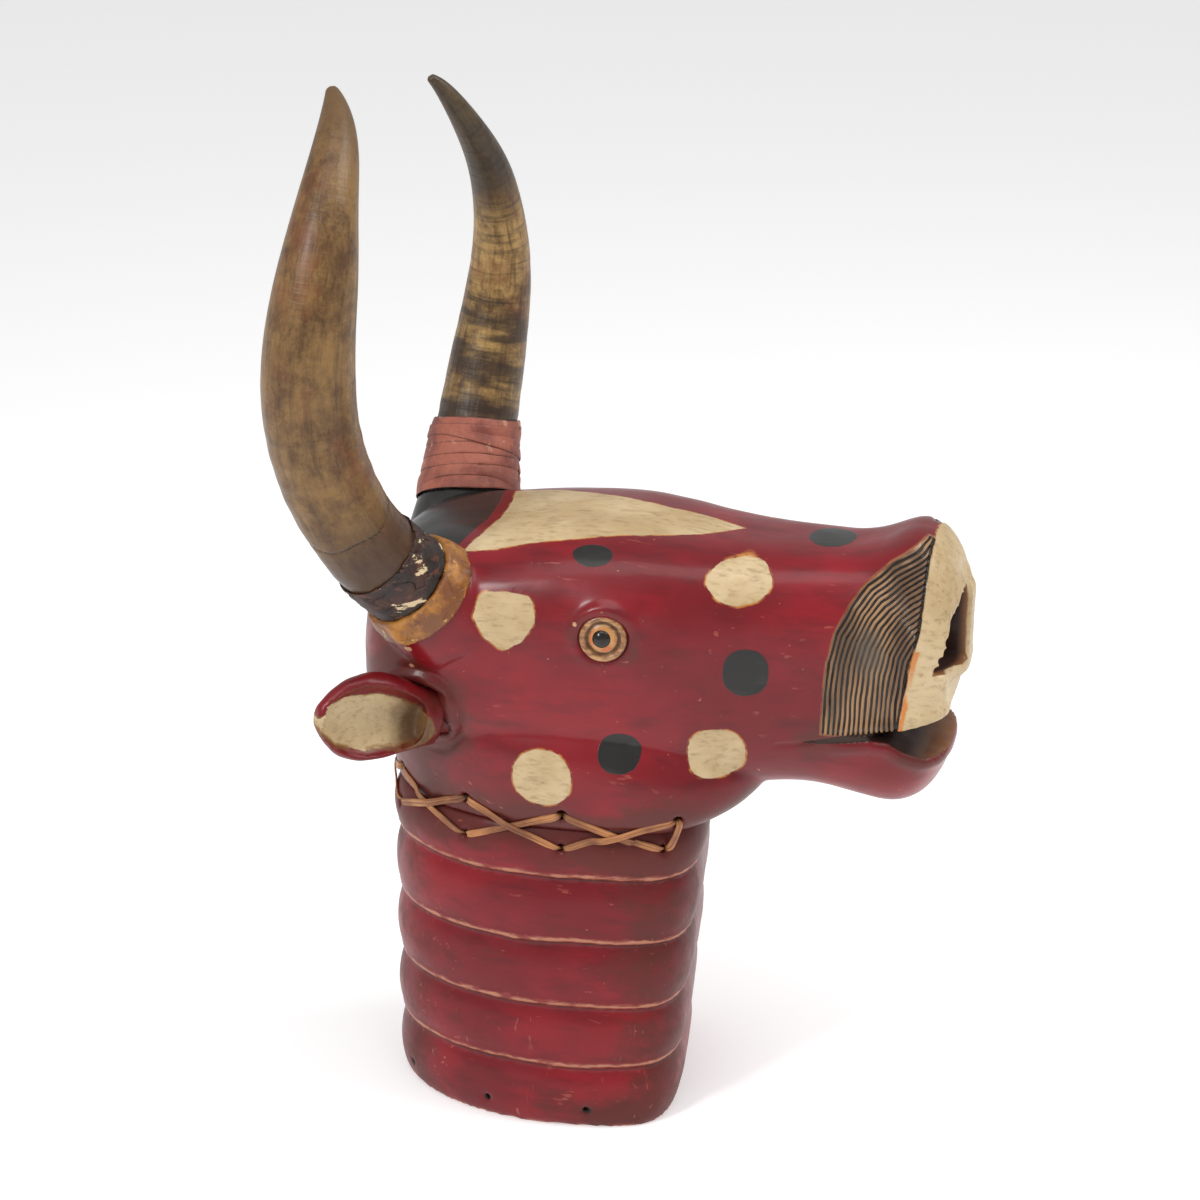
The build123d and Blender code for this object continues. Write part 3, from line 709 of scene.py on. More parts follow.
def head_shapes(mm, upward, outer):
    """Signed distances to the black paint and to the cream paint."""
    x, y, z = mm.T
    black, cream = np.full(len(x), FAR), np.full(len(x), FAR)
    for dot in CREAM_DOTS:
        cream = np.maximum(cream, inside_dot(x, z, dot))
    for shape in CREAM_SHAPES:
        cream = np.maximum(cream, inside(x, z, shape) + CREAM_WIDER)
    for dot in BLACK_DOTS:
        black = np.maximum(black, inside_dot(x, z, dot))
    on_side = outer & (np.abs(y) > 31)
    black, cream = np.where(on_side, black, FAR), np.where(on_side, cream, FAR)
    upper = (z > 470) & (upward > 0.1)
    for dot in BLACK_TOP_DOTS:
        black = np.where(upper, np.maximum(black, inside_dot(x, y, dot)), black)
    cream = np.where(upper, np.maximum(cream, inside(x, y, PATCH)), cream)
    poll = np.minimum(inside(x, y, POLL), z - 431 + 0.1 * (y - 60))
    black = np.where(z > 415, np.maximum(black, poll), black)
    upper_lip = np.interp(x, [p[0] for p in UPPER_LIP], [p[1] for p in UPPER_LIP])
    nose = np.minimum(-comb_area(mm)[2], z - upper_lip + 1.0)
    return black, np.maximum(cream, np.where(outer, nose, FAR))


def carve_head():
    head = voxel_copy("head", "carved_head", VOXEL["head"])
    mesh = head.data
    relax(mesh, 2)
    refine(mesh)
    points, outward = coords(mesh), normals(mesh)
    mm = points / MM
    x, y, z = mm.T
    side = np.abs(y)
    # the hollow faces the neck's axis or down; the jaw's outside faces away from the axis
    away = ((x - NECK_WIDEST) * outward[:, 0] + y * outward[:, 1]) / np.hypot(x - NECK_WIDEST, y)
    inner = (neck_reach(mm) < 0.86) & (z < HOLLOW_TOP) & (away < 0.3)
    outer = ~inner
    store(mesh, "inner", inner.astype(float))
    black, cream = head_shapes(mm, outward[:, 2], outer)
    store(mesh, "black", black)
    store(mesh, "cream", cream)

    # the combed band, with a crack and an ochre line along its nose side
    within, across, to_nose = comb_area(mm)
    across = across + 1.3 * lumps(points * [1, 1, 0.5], 0.013, 5.0)
    beside = (z > LIP_Z - 4) & (z < COMB_TOP - 1) & (side > COMB_INNER)
    store(mesh, "comb", within)
    store(mesh, "comb_across", across)
    # the rubbed middle of the band: worn, and given a painted sheen
    store(mesh, "comb_rub_sheen", bell(x - 272, 17) * bell(z - 432, 30))
    store(mesh, "crack", np.where(beside, 0.9 - np.abs(to_nose - 0.3), -5.0))
    store(mesh, "ochre", np.where(beside & (z < 436), 2.2 - np.abs(to_nose + 2.6), -5.0))

    # mouth and nostrils, with their depth behind the front, by which their paint darkens as painted shade
    gap = inside(x, z, MOUTH) + 1.3
    pocket = np.minimum(inside(side, z, NOSTRIL) + 0.9, x - 315.5)
    front = NOSE_TIP - 0.0075 * np.clip(side - 10, 0, 90) ** 2
    store(mesh, "hollow", np.where(outer, np.maximum(gap, pocket), -9.0))
    in_mouth = np.where(gap > 0, 4 + (330 - x) * 0.25, 0)
    store(mesh, "depth", np.maximum(np.where(pocket > 0, front - x, 0), in_mouth))

    # chips on the right side, and grime with painted shade: browner towards the bottom and the back, round the
    # ear and the eye and beside the mouth
    chip = np.full(len(x), -9.0)
    for chip_x, chip_z, size in CHIPS:
        chip = np.maximum(chip, size - np.hypot(x - chip_x, (z - chip_z) * 1.4))
    store(mesh, "chip", np.where(y < -60, chip, -9.0))
    ear_x, ear_z, ear_r = EAR_SEAT
    from_ear = np.hypot(x - ear_x, z - ear_z)
    from_eye = np.hypot(x - EYE_X, z - EYE_Z)
    grime_and_shade = 0.95 * between(z, 318, 276) + 0.7 * between(from_ear, 70, 34) + 0.5 * between(x, -20, -110)
    grime_and_shade += 0.5 * between(np.abs(gap), 22, 4) + 0.35 * between(from_eye, 40, 20)
    store(mesh, "grime_and_shade", np.clip(grime_and_shade, 0, 1))

    # tool marks, eyelid, brow, ear mound, comb lines, crack, lower lip and mouth corner
    raised = outer * (0.55 * lumps(points, 0.055) + 0.28 * lumps(points, 0.021, 3.0))
    on_side = (side > 60) & outer
    upper_lid = 0.55 + 0.45 * np.clip((z - EYE_Z) / 20 + 0.3, -1, 1)
    raised += on_side * 3.6 * bell(from_eye - 23, 4.2) * upper_lid
    raised += on_side * 4.0 * bell(x - EYE_X - 6, 24) * bell(z - EYE_Z - 22, 13)
    mound = 3.4 * between(from_ear, ear_r + 2.5, ear_r - 3) - 1.3 * bell(from_ear - ear_r - 3.5, 2.2)
    raised += (on_side & (z > 322)) * mound * between(x, -128, -112)
    wave = np.abs((across / COMB_PITCH + 0.5) % 1 - 0.5) * 2
    raised -= between(within, -0.4, 0.8) * (0.9 + COMB_DEPTH * between(wave, 0.45, 0.95))
    raised -= 1.1 * bell(to_nose, 1.1) * ((np.abs(to_nose) < 4) & (side > COMB_INNER) & (z > LIP_Z))
    raised += (gap < 0.5) * 2.2 * bell(gap + 5, 5) * between(x, 228, 262)
    raised -= (outer & (side > 55)) * 1.8 * bell(edge_distance(x, z, MOUTH_CORNER, False), 1.8)
    carve(head, points, outward, raised)
    finish_piece(head, "head", head_material())
    return head


# ---- neck -----------------------------------------------------------------
def carve_neck():
    neck, points, outward = start_carving("neck", "ringed_neck", VOXEL["neck"], 1)
    mesh = neck.data
    mm = points / MM
    x, y, z = mm.T
    inner = neck_reach(mm) < 0.89
    store(mesh, "inner", inner.astype(float))
    angle = np.arctan2(y, x - NECK_WIDEST)
    ring = np.stack([np.cos(angle), np.sin(angle), np.zeros(len(x))], 1)
    edge, groove, shift = np.zeros((3, len(x)))
    for k, top in enumerate(ROLL_TOPS[:-1]):
        shift += 2.4 * bell(z - top, 15) * lumps(ring, 0.55, 5.0 * k + 1)
        edge = np.maximum(edge, bell(z - top - 2.2, 3.0))
        groove = np.maximum(groove, bell(z - top + 1.8, 1.7))
    edge = np.maximum(edge, 0.75 * bell(z - 1, 2.5))
    # edge marks the bead along each roll's top, where the paint lays a painted highlight
    store(mesh, "edge", np.where(inner, 0, edge))
    # groove marks the crease under each bead, which the paint darkens as painted shade
    store(mesh, "groove", np.where(inner, 0, groove))
    hole = np.full(len(x), -9.0)
    for k in range(TIE_HOLES):
        turn = 2 * math.pi * (k + 0.5) / TIE_HOLES + NECK_TWIST
        across = np.abs(math.cos(turn) * y - math.sin(turn) * x)
        ahead = math.cos(turn) * x + math.sin(turn) * y > 0
        hole = np.maximum(hole, np.where(ahead, 4.2 - np.hypot(across, z - TIE_Z), -9))
    store(mesh, "hole", np.where(inner, -9, hole))
    # browner near the seam, at the near front, at the back and at the foot: grime, with painted shade
    grime_and_shade = 0.85 * between(z, 222, 262) + 0.65 * between(x, 40, 110) * between(-y, -20, 60)
    grime_and_shade += 0.35 * between(x, -20, -110) + 0.3 * between(z, 40, 8)
    store(mesh, "grime_and_shade", np.clip(grime_and_shade, 0, 1))
    raised = 0.7 * lumps(points, 0.06, 2.0) + 0.35 * lumps(points, 0.024, 8.0) + 0.9 * edge
    for bottom, top in zip((0,) + ROLL_TOPS[:-1], ROLL_TOPS):
        share = np.clip((z - bottom) / (top - bottom), 0, 1)
        raised += 2.6 * np.sin(math.pi * share) ** 0.8
    points[:, 2] += shift * between(z, 3, 16) * between(z, 268, 240) * ~inner * MM
    carve(neck, points, outward, raised * between(z, 0.5, 6) * ~inner)
    finish_piece(neck, "neck", neck_material())
    return neck


# ---- horns ----------------------------------------------------------------
def smooth_line(stations, steps=12):
    """Finer centre line through the stations: place, radius, distance along, and a turning frame."""
    data = np.array(stations, float)
    fine = []
    for i in range(len(data) - 1):
        a, b = data[max(i - 1, 0)], data[i]
        c, d = data[i + 1], data[min(i + 2, len(data) - 1)]
        for k in range(steps):
            t = k / steps
            fine.append(0.5 * (
                2 * b + (c - a) * t + (2 * a - 5 * b + 4 * c - d) * t**2 + (3 * b - a - 3 * c + d) * t**3
            ))
    fine.append(data[-1])
    fine = np.array(fine)
    place, radius = fine[:, :3] * MM, fine[:, 3] * MM
    along = np.concatenate([[0], np.cumsum(np.linalg.norm(np.diff(place, axis=0), axis=1))])
    ahead = np.gradient(place, axis=0)
    ahead /= np.linalg.norm(ahead, axis=1)[:, None]
    side = np.empty_like(ahead)
    start = np.array([1.0, 0, 0])
    for i, direction in enumerate(ahead):
        start = start - direction * start.dot(direction)
        start /= np.linalg.norm(start)
        side[i] = start
    return {"place": place, "radius": radius, "along": along, "ahead": ahead, "side": side,
            "up": np.cross(ahead, side)}


def on_line(line, points):
    """Each point in a horn's straightened frame: across twice, then along."""
    nearest = np.empty(len(points), int)
    for start in range(0, len(points), 20000):
        chunk = points[start:start + 20000]
        gaps = ((chunk[:, None, :] - line["place"][None]) ** 2).sum(2)
        nearest[start:start + 20000] = gaps.argmin(1)
    offset = points - line["place"][nearest]
    ahead = (offset * line["ahead"][nearest]).sum(1)
    return np.stack([
        (offset * line["side"][nearest]).sum(1),
        (offset * line["up"][nearest]).sum(1),
        line["along"][nearest] + ahead,
    ], 1)


def carve_horn(side, stations, dark_tip):
    horn, points, outward = start_carving(f"horn_{side}", f"natural_horn_{side}", VOXEL["horn"], 2)
    line = smooth_line(stations)
    lay = on_line(line, points)
    share = lay[:, 2] / line["along"][-1]
    store_vector(horn.data, "lay", lay)
    store(horn.data, "share", share)
    crack = np.zeros(len(points))
    if not dark_tip:
        angle = np.arctan2(lay[:, 1], lay[:, 0])
        wander = 0.006 * np.sin(angle * 2 + 6) + 0.004 * np.sin(angle * 5)
        crack = bell(share - RING_CRACK_AT - wander, 0.0022)
    store(horn.data, "crack", crack)
    along_only = np.stack([0 * share, 0 * share, lay[:, 2]], 1)
    rings = 0.55 * lumps(along_only, 0.011, 2.0 if dark_tip else 6.0)
    rings += 0.5 * lumps(lay * [1, 1, 0.22], 0.010, 4.0)
    raised = between(share, 0.75, 0.15) * rings + 0.55 * lumps(lay * [1, 1, 0.6], 0.038, 7.0) - 0.9 * crack
    carve(horn, points, outward, raised)
    finish_piece(horn, f"horn_{side}", horn_material(f"horn_{side}_surface", dark_tip))
    return line


# ---- resin and leather ----------------------------------------------------
def carve_resin():
    collar, points, outward = start_carving("horn_collar_right", "resin_collar", VOXEL["resin"], 3)
    carve(collar, points, outward, 1.6 * lumps(points, 0.017, 1.0) + 0.9 * lumps(points, 0.007, 9.0) + 0.3)
    finish_piece(collar, "horn_collar_right", resin_material())


def carve_remains():
    remains, points, outward = start_carving("horn_binding_right", "leather_remains", VOXEL["remains"], 1)
    left_over = between(lumps(points, 0.016, 4.0) + 0.5 * lumps(points, 0.006, 2.0), -0.18, 0.02)
    carve(remains, points, outward, 0.5 * lumps(points, 0.008, 6.0) - 1.9 * (1 - left_over))
    finish_piece(remains, "horn_binding_right", remains_material())


def strip_mesh(name, rows, rims, lays=None, tucks=None):
    """A closed strip from rows of points, each row one section's closed loop."""
    mesh = bpy.data.meshes.new(name)
    count = len(rows[0])
    points = [p for row in rows for p in row]
    faces = []
    for i in range(len(rows) - 1):
        for k in range(count):
            a, b = i * count + k, i * count + (k + 1) % count
            faces.append((a, b, b + count, a + count))
    faces.append(tuple(range(count))[::-1])
    faces.append(tuple((len(rows) - 1) * count + k for k in range(count)))
    mesh.from_pydata([tuple(p) for p in points], [], faces)
    mesh.validate()
    store(mesh, "rim", [r for row in rims for r in row])
    if lays is not None:
        store_vector(mesh, "lay", [v for row in lays for v in row])
    if tucks is not None:
        store(mesh, "tuck", [t for t in tucks for _ in range(count)])
    shade_smooth(mesh)
    bm = bmesh.new()
    bm.from_mesh(mesh)
    bmesh.ops.recalc_face_normals(bm, faces=bm.faces)
    bm.to_mesh(mesh)
    bm.free()
    return mesh


def wound_leather(line):
    """Overlapping turns of leather strip round the left horn, each a little crooked."""
    sleeve = tree_of(nodes["horn_binding_left"])
    joined = bmesh.new()
    radius = 0.035
    for number, (start, rise, turns, width, crooked, phase, lift) in enumerate(STRIP_RUNS):
        rows, rims = [], []
        steps = int(turns * 90)
        for i in range(steps + 1):
            angle = 2 * math.pi * turns * i / steps
            middle = start + rise * angle / (2 * math.pi) + crooked * math.sin(angle + phase)
            middle += 1.3 * noise.noise(Vector((angle * 0.9, number * 3.1, 0)))
            wide = width * (1 + 0.16 * noise.noise(Vector((angle * 0.7, number * 2.3, 5))))
            row = []
            for across, up in STRIP_SECTION:
                s = min(max((middle + across * wide / 2) * MM, STRIP_FROM), STRIP_TO)
                at, side, over = (
                    Vector([np.interp(s, line["along"], line[key][:, k]) for k in range(3)])
                    for key in ("place", "side", "up")
                )
                out = (side * math.cos(angle) + over * math.sin(angle)).normalized()
                hit = sleeve.ray_cast(at + out * 0.08, -out, 0.07)[0]
                if hit is not None:
                    radius = (hit - at).length
                wrinkle = 0.35 * noise.noise(Vector((angle * 2.4, across * 1.6, number * 4.0)))
                slope = -0.55 * across if rise > 0 else 0.4 * across
                row.append(at + out * (radius + (lift - 1.3 + up + slope + wrinkle) * MM))
            rows.append(row)
            rims.append([abs(across) for across, _ in STRIP_SECTION])
        joined.from_mesh(strip_mesh(f"strip_{number}", rows, rims))
    mesh = bpy.data.meshes.new("leather_binding_left")
    joined.to_mesh(mesh)
    joined.free()
    binding = add_object("leather_binding_left", mesh)
    finish_piece(binding, "horn_binding_left", leather_material())
    thick = binding.modifiers.new("soft", "SUBSURF")
    thick.levels = thick.render_levels = 1


# ---- ears -----------------------------------------------------------------
def carve_ear(side):
    flip = np.array([1, 1 if side == "left" else -1, 1])
    ear, points, outward = start_carving(f"ear_{side}", f"carved_ear_{side}", VOXEL["ear"], 3)
    out = np.array((EAR_TIP - EAR_ROOT).normalized())
    facing = np.array(EAR_FACING) - out * np.array(EAR_FACING).dot(out)
    facing /= np.linalg.norm(facing)
    away = points * flip / MM - np.array(EAR_ROOT)
    share = away @ out / (EAR_TIP - EAR_ROOT).length
    below = away @ np.cross(out, facing) - 4  # the hollow lies low, which leaves a thick upper lip
    half = np.interp(share, (0.06, 0.12, 0.3, 0.55, 0.8, 0.96, 1.02), (0, 11, 19, 24, 20, 9, 0))
    hollow = np.minimum(half - np.abs(below), (share - 0.08) * 60)
    hollow = np.where((outward * flip) @ facing > -0.35, hollow, -9)
    store(ear.data, "hollow", hollow)
    # the cream in the hollow darker towards the ear's root
    store(ear.data, "hollow_darkening", 0.9 * between(share, 0.46, 0.14) + 0.2 * between(below, 8, 24))
    # darker towards the ear's root: grime, with painted shade
    store(ear.data, "grime_and_shade", 0.5 * between(share, 0.6, 0.05) + 0.15)
    raised = 0.7 * lumps(points, 0.02, 3.0) + 0.35 * lumps(points, 0.009, 6.0)
    raised -= 0.8 * between(hollow, 1, 6) * np.abs(lumps(points * [1, 1, 3], 0.012, 2.0))
    carve(ear, points, outward, raised)
    finish_piece(ear, f"ear_{side}", EAR_PAINT)


# ---- eyes -----------------------------------------------------------------
def lathe(name, profile, centre, axis, segments=72):
    """A turned piece: profile is (radius, height) in millimetres, heights along axis."""
    axis = axis.normalized()
    side = axis.cross(Vector((0, 0, 1))).normalized()
    over = axis.cross(side)
    points, faces, rings = [centre + axis * profile[0][1] * MM], [], [0.0]
    for radius, height in profile[1:]:
        for k in range(segments):
            a = 2 * math.pi * k / segments
            out = side * math.cos(a) + over * math.sin(a)
            points.append(centre + out * radius * MM + axis * height * MM)
            rings.append(radius)
    for k in range(segments):
        faces.append((0, 1 + k, 1 + (k + 1) % segments))
    for i in range(len(profile) - 2):
        for k in range(segments):
            a, b = 1 + i * segments + k, 1 + i * segments + (k + 1) % segments
            faces.append((a, a + segments, b + segments, b))
    last = 1 + (len(profile) - 2) * segments
    faces.append(tuple(last + k for k in range(segments)))
    mesh = bpy.data.meshes.new(name)
    mesh.from_pydata([tuple(p) for p in points], [], faces)
    bm = bmesh.new()
    bm.from_mesh(mesh)
    bmesh.ops.recalc_face_normals(bm, faces=bm.faces)
    bm.to_mesh(mesh)
    bm.free()
    store(mesh, "ring", rings)
    return add_object(name, mesh)


def turned_eye(side):
    """Disc with a raised rim, a groove and a domed iris, and the bulging pupil in it."""
    points = coords(nodes[f"eye_{side}"].data)
    spread = np.linalg.svd(points - points.mean(0), full_matrices=False)[2]
    axis = Vector(spread[2])
    if (axis.y > 0) != (side == "left"):
        axis.negate()
    heights = (points @ np.array(axis))
    across = points - np.outer(heights, np.array(axis))
    middle = (across.max(0) + across.min(0)) / 2
    face = Vector(middle) + axis * float(heights.max())
    disc = lathe(f"turned_eye_{side}", (
        (0, 0.2), (4, 0.1), (7, -0.3), (9.5, -1.0), (11.2, -1.9), (12.0, -2.7), (12.7, -3.0), (13.3, -2.4),
        (14.0, -1.0), (14.8, -0.3), (15.9, -0.1), (16.9, -0.4), (17.9, -1.1), (18.6, -2.2), (18.9, -4.0),
        (18.9, -6.6),
    ), face, axis)
    finish_piece(disc, f"eye_{side}", EYE_WOOD)
    pupil_at = face + Vector((-0.001, 0, 0.0002))
    pupil = lathe(f"glossy_pupil_{side}", (
        (0, 3.3), (1.6, 3.15), (3.2, 2.75), (4.8, 2.0), (6.0, 1.1), (6.8, 0.3), (7.2, -0.6), (7.2, -3.4),
    ), pupil_at, axis, 48)
    finish_piece(pupil, f"pupil_{side}", PUPIL_GLOSS)


# ---- lacing ---------------------------------------------------------------
def lace_places():
    outline = neck_outline(SEAM_Z)
    front_left = max(outline, key=lambda p: p[0] + p[1])
    front_right = max(outline, key=lambda p: p[0] - p[1])
    start, end = outline.index(front_right), outline.index(front_left)
    around = [outline[start - k] for k in range((start - end) % OUTLINE_POINTS + 1)]
    gaps = [math.dist(a, b) for a, b in zip(around, around[1:])]
    reached = np.concatenate([[0], np.cumsum(gaps)])
    total = (LACE_PAIRS - 1) * LACE_STEPS
    wanted = np.linspace(LACE_FROM_FRONT, reached[-1] - LACE_FROM_FRONT, total + 1)
    return list(zip(*(np.interp(wanted, reached, [p[k] for p in around]) for k in (0, 1))))


def surface_at(tree, place, z):
    """Outermost point of the wood at a height in millimetres, and its level outward normal."""
    towards = Vector((place[0], place[1], 0)).normalized()
    start = Vector((0, 0, z * MM)) + towards * 0.3
    point, normal, _, _ = tree.ray_cast(start, -towards, 0.29)
    return point, Vector((normal.x, normal.y, 0)).normalized()


def wood_at(head, neck, place, z, up=None):
    """Point on the wood's face at a height, measured clear of the lace holes."""
    found = []
    for tree, low, high, above in ((head, 276, 294, True), (neck, 246, 263, False)):
        if up is None and (z > SEAM_Z + 5 if not above else z < SEAM_Z - 5):
            continue
        if up is not None and up != above:
            continue
        (a, n), (b, m) = surface_at(tree, place, low), surface_at(tree, place, high)
        share = min(max((z - low) / (high - low), 0), 1)
        point = a.lerp(b, share)
        found.append((Vector((point.x, point.y, z * MM)), (n + m).normalized()))
    return max(found, key=lambda hit: math.hypot(hit[0].x, hit[0].y))


def lace_path(places, head, neck, starts_up):
    """Points, outward directions and tucks (1 inside the wood) along one flat lace."""
    last = LACE_PAIRS - 1
    visits = []
    for pair in range(last):
        visits += [(pair, starts_up, 1), (pair + 1, not starts_up, -1)]
    if starts_up:
        visits += [(last, True, 1), (last, False, 1)]
    else:
        visits = [(0, False, -1), (0, True, -1)] + visits
    inner = (WALL + 9 + (0 if starts_up else 4)) * MM  # one lace runs deeper inside than the other
    tucked = ((inner, 1.0), (0.006, 1.0), (0.0016, 0.75))
    upright = Vector((0, 0, 1))

    def hole(pair, up, aside):
        place = places[pair * LACE_STEPS]
        point, level = wood_at(head, neck, place, SEAM_Z + (LACE_UP if up else -LACE_DOWN), up)
        out = (level + Vector((place[0] - NECK_WIDEST, place[1], 0)).normalized()).normalized()
        return point + out.cross(upright) * aside * 0.0014, out

    path = []
    for (pair, up, aside), (next_pair, next_up, next_aside) in zip(visits[::2], visits[1::2]):
        a, a_out = hole(pair, up, aside)
        b, b_out = hole(next_pair, next_up, next_aside)
        path += [(a - a_out * depth, a_out, tuck) for depth, tuck in tucked]
        across = next_pair > pair
        steps = 14 if across else 5
        for step in range(steps + 1):
            share = (step + 0.35) / (steps + 0.7)
            if across:
                index = (pair + share) * LACE_STEPS
                place = [np.interp(index, range(len(places)), [p[k] for p in places]) for k in (0, 1)]
                point, level = wood_at(head, neck, place, (a.z + (b.z - a.z) * share) / MM)
            else:  # the strand straight down at the front
                point, level = a.lerp(b, share), (a_out + b_out).normalized()
                point += level * (1.8 * math.sin(math.pi * share) * MM)
            on_top = across and (pair % 2 == 0) == starts_up
            hump = 1.7 * bell(share - 0.5, 0.13) if on_top else 0.0
            proud = (1.2 + hump + 0.18 * math.sin(math.pi * share)) * MM
            aside_now = (aside + (next_aside - aside) * share) * MM
            tuck = 0.35 if min(share, 1 - share) < 0.06 else 0.0
            path.append((point + level * proud + level.cross(upright) * aside_now, level, tuck))
        path += [(b - b_out * depth, b_out, tuck) for depth, tuck in reversed(tucked)]
    return path


def smoothed(values, rounds, share):
    """Evens out a row of vectors, so that a strip folds at its corners instead of kinking."""
    for _ in range(rounds):
        values[1:-1] = values[1:-1] * (1 - 2 * share) + (values[:-2] + values[2:]) * share
    return values


def flat_lace(name, node, path, seed):
    """A flat split strip with a furrow along its middle, swept along the path."""
    fine = []
    for (here, out, tuck), (there, next_out, next_tuck) in zip(path, path[1:]):
        count = max(1, int((there - here).length / LACE_STEP))
        for t in (k / count for k in range(count)):
            turned = out.lerp(next_out, t).normalized()
            fine.append((here.lerp(there, t), turned, tuck + (next_tuck - tuck) * t))
    fine.append(path[-1])
    points = smoothed(np.array([place for place, _, _ in fine]), 2, 0.25)
    outs = smoothed(np.array([out for _, out, _ in fine]), 3, 0.3)
    tucks = [tuck for _, _, tuck in fine]
    along = np.concatenate([[0], np.cumsum(np.linalg.norm(np.diff(points, axis=0), axis=1))])
    rows, lays = [], []
    previous = None
    for i, tuck in enumerate(tucks):
        ahead = Vector(points[min(i + 1, len(points) - 1)] - points[max(i - 1, 0)]).normalized()
        out = Vector(outs[i])
        side = ahead.cross(out)
        if side.length < 0.25 and previous is not None:
            side = previous - ahead * previous.dot(ahead)
        side.normalize()
        if previous is not None:
            if side.dot(previous) < 0:
                side = -side
            side = side * 0.35 + previous * 0.65
            side = (side - ahead * side.dot(ahead)).normalized()
        previous = side
        top = side.cross(ahead)
        if top.dot(out) < 0 and tuck < 0.5:
            top = -top
        wide = (3.1 + 0.9 * noise.noise(Vector((along[i] * 22, seed, 0)))) * (1 - 0.42 * tuck)
        thick = 0.85 + 0.15 * noise.noise(Vector((along[i] * 40, seed, 3))) + 0.5 * tuck
        row, lay = [], []
        for k, (u, v) in enumerate(LACE_SECTION):
            jitter = 0.12 * noise.noise(Vector((along[i] * 160, k * 1.7, seed)))
            row.append(Vector(points[i]) + side * (u * wide * MM) + top * ((v * thick + jitter) * MM))
            lay.append((u * wide * MM, along[i], v * thick * MM))
        rows.append(row)
        lays.append(lay)
    rims = [[abs(u) for u, _ in LACE_SECTION]] * len(rows)
    lace = add_object(name, strip_mesh(name, rows, rims, lays, tucks))
    finish_piece(lace, node, RAWHIDE)


def knots(name, node):
    """A small tied knot at each end of a lace, inside the neck."""
    points = coords(nodes[node].data)
    spread = points - points.mean(0)
    along = spread @ np.linalg.svd(spread, full_matrices=False)[2][0]
    steps, sides = 90, 8
    turns = [2 * math.pi * i / steps for i in range(steps)]
    curve = [Vector((
        math.sin(t) + 2 * math.sin(2 * t), math.cos(t) - 2 * math.cos(2 * t), -math.sin(3 * t) * 1.3,
    )) * KNOT_SIZE for t in turns]
    joined = bmesh.new()
    for group in (points[along < 0], points[along >= 0]):
        centre = Vector((group.max(0) + group.min(0)) / 2)
        made, faces = [], []
        for i in range(steps):
            ahead = (curve[(i + 1) % steps] - curve[i - 1]).normalized()
            side = ahead.cross(curve[i]).normalized()
            over = ahead.cross(side)
            for k in range(sides):
                a = 2 * math.pi * k / sides
                made.append(centre + curve[i] + side * math.cos(a) * 0.0013 + over * math.sin(a) * 0.0010)
                here, there = i * sides, (i + 1) % steps * sides
                faces.append((here + k, here + (k + 1) % sides, there + (k + 1) % sides, there + k))
        part = bpy.data.meshes.new("knot")
        part.from_pydata([tuple(p) for p in made], [], faces)
        joined.from_mesh(part)
    bmesh.ops.recalc_face_normals(joined, faces=joined.faces)
    mesh = bpy.data.meshes.new(name)
    joined.to_mesh(mesh)
    joined.free()
    store_vector(mesh, "lay", coords(mesh)[:, [0, 2, 1]])
    store(mesh, "tuck", np.full(len(mesh.vertices), 0.1))
    finish_piece(add_object(name, mesh), node, RAWHIDE)


EAR_PAINT = ear_material()
EYE_WOOD = eye_material()
PUPIL_GLOSS = pupil_material()
RAWHIDE = lace_material()

head = carve_head()
neck = carve_neck()
carve_horn("right", HORN_RIGHT, False)
left_line = carve_horn("left", HORN_LEFT, True)
carve_resin()
carve_remains()
wound_leather(left_line)
for side in ("left", "right"):
    carve_ear(side)
    turned_eye(side)
    core = nodes[f"horn_core_{side}"]
    core.data.materials.clear()
    core.data.materials.append(core_material())

head_tree, neck_tree = tree_of(head), tree_of(neck)
places = lace_places()
for letter, starts_up in (("a", True), ("b", False)):
    path = lace_path(places, head_tree, neck_tree, starts_up)
    flat_lace(f"rawhide_lace_{letter}", f"lace_{letter}", path, 3.0 if starts_up else 11.0)
    knots(f"rawhide_knots_{letter}", f"lace_knots_{letter}")


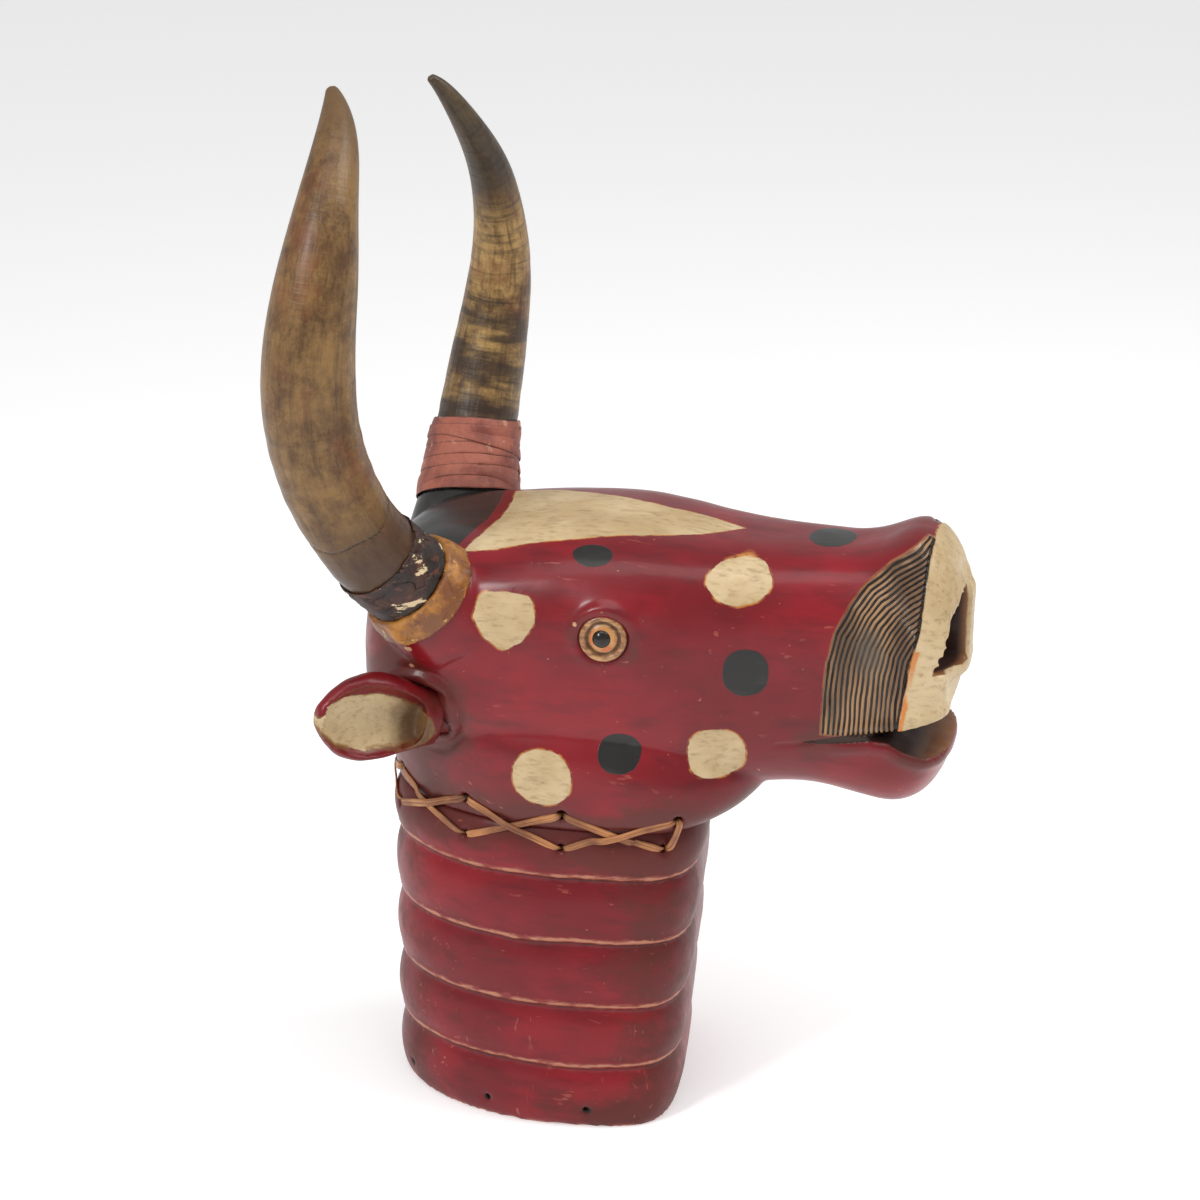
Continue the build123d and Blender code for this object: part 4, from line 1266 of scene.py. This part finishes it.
# ---- floor, light and camera ----------------------------------------------
def area_light(name, place, target, size, power, colour=(1, 1, 1)):
    data = bpy.data.lights.new(name, "AREA")
    data.shape = "RECTANGLE"
    data.size, data.size_y = size
    data.energy = power
    data.color = colour
    lamp = bpy.data.objects.new(name, data)
    bpy.context.scene.collection.objects.link(lamp)
    lamp.location = place
    lamp.rotation_euler = (Vector(target) - Vector(place)).to_track_quat("-Z", "Y").to_euler()


floor_mesh = bpy.data.meshes.new("floor")
floor_mesh.from_pydata([(-30, -30, 0), (30, -30, 0), (30, 30, 0), (-30, 30, 0)], [], [(0, 1, 2, 3)])
floor = add_object("floor", floor_mesh)
floor_finish = Finish("floor", Roughness=0.9, Emission_Color=(1, 1, 1, 1), Emission_Strength=0.26)
floor_finish.colour = floor_finish.mix(floor_finish.noise(1.5), (0.93, 0.93, 0.93), (0.95, 0.95, 0.95))
floor_mesh.materials.append(floor_finish.finish())

world = bpy.data.worlds.new("studio")
bpy.context.scene.world = world
world.use_nodes = True
world.node_tree.nodes["Background"].inputs["Color"].default_value = (1, 1, 1, 1)
world.node_tree.nodes["Background"].inputs["Strength"].default_value = 0.55
area_light("key", (1.6, 0.2, 2.4), (0.05, 0, 0.4), (1.2, 1.2), 30)
area_light("window", (-1.0, -1.8, 1.9), (-0.02, -0.05, 0.45), (0.40, 0.75), 24)
area_light("top", (0.1, -0.7, 2.6), (0.05, 0, 0.4), (1.6, 1.0), 12)
bpy.context.scene.view_settings.view_transform = "Standard"

CAMERA_TARGET = Vector((0.045, 0, 0.427))
CAMERA_AZIMUTH, CAMERA_ELEVATION = math.radians(14), math.radians(21.9)
CAMERA_DISTANCE = 2.333
back = Vector((
    math.sin(CAMERA_AZIMUTH) * math.cos(CAMERA_ELEVATION),
    -math.cos(CAMERA_AZIMUTH) * math.cos(CAMERA_ELEVATION),
    math.sin(CAMERA_ELEVATION),
))
camera_data = bpy.data.cameras.new("camera")
camera_data.sensor_width = 36
camera_data.lens = 87.5
camera = bpy.data.objects.new("camera", camera_data)
bpy.context.scene.collection.objects.link(camera)
camera.location = CAMERA_TARGET + back * CAMERA_DISTANCE
camera.rotation_euler = (-back).to_track_quat("-Z", "Y").to_euler()
bpy.context.scene.camera = camera
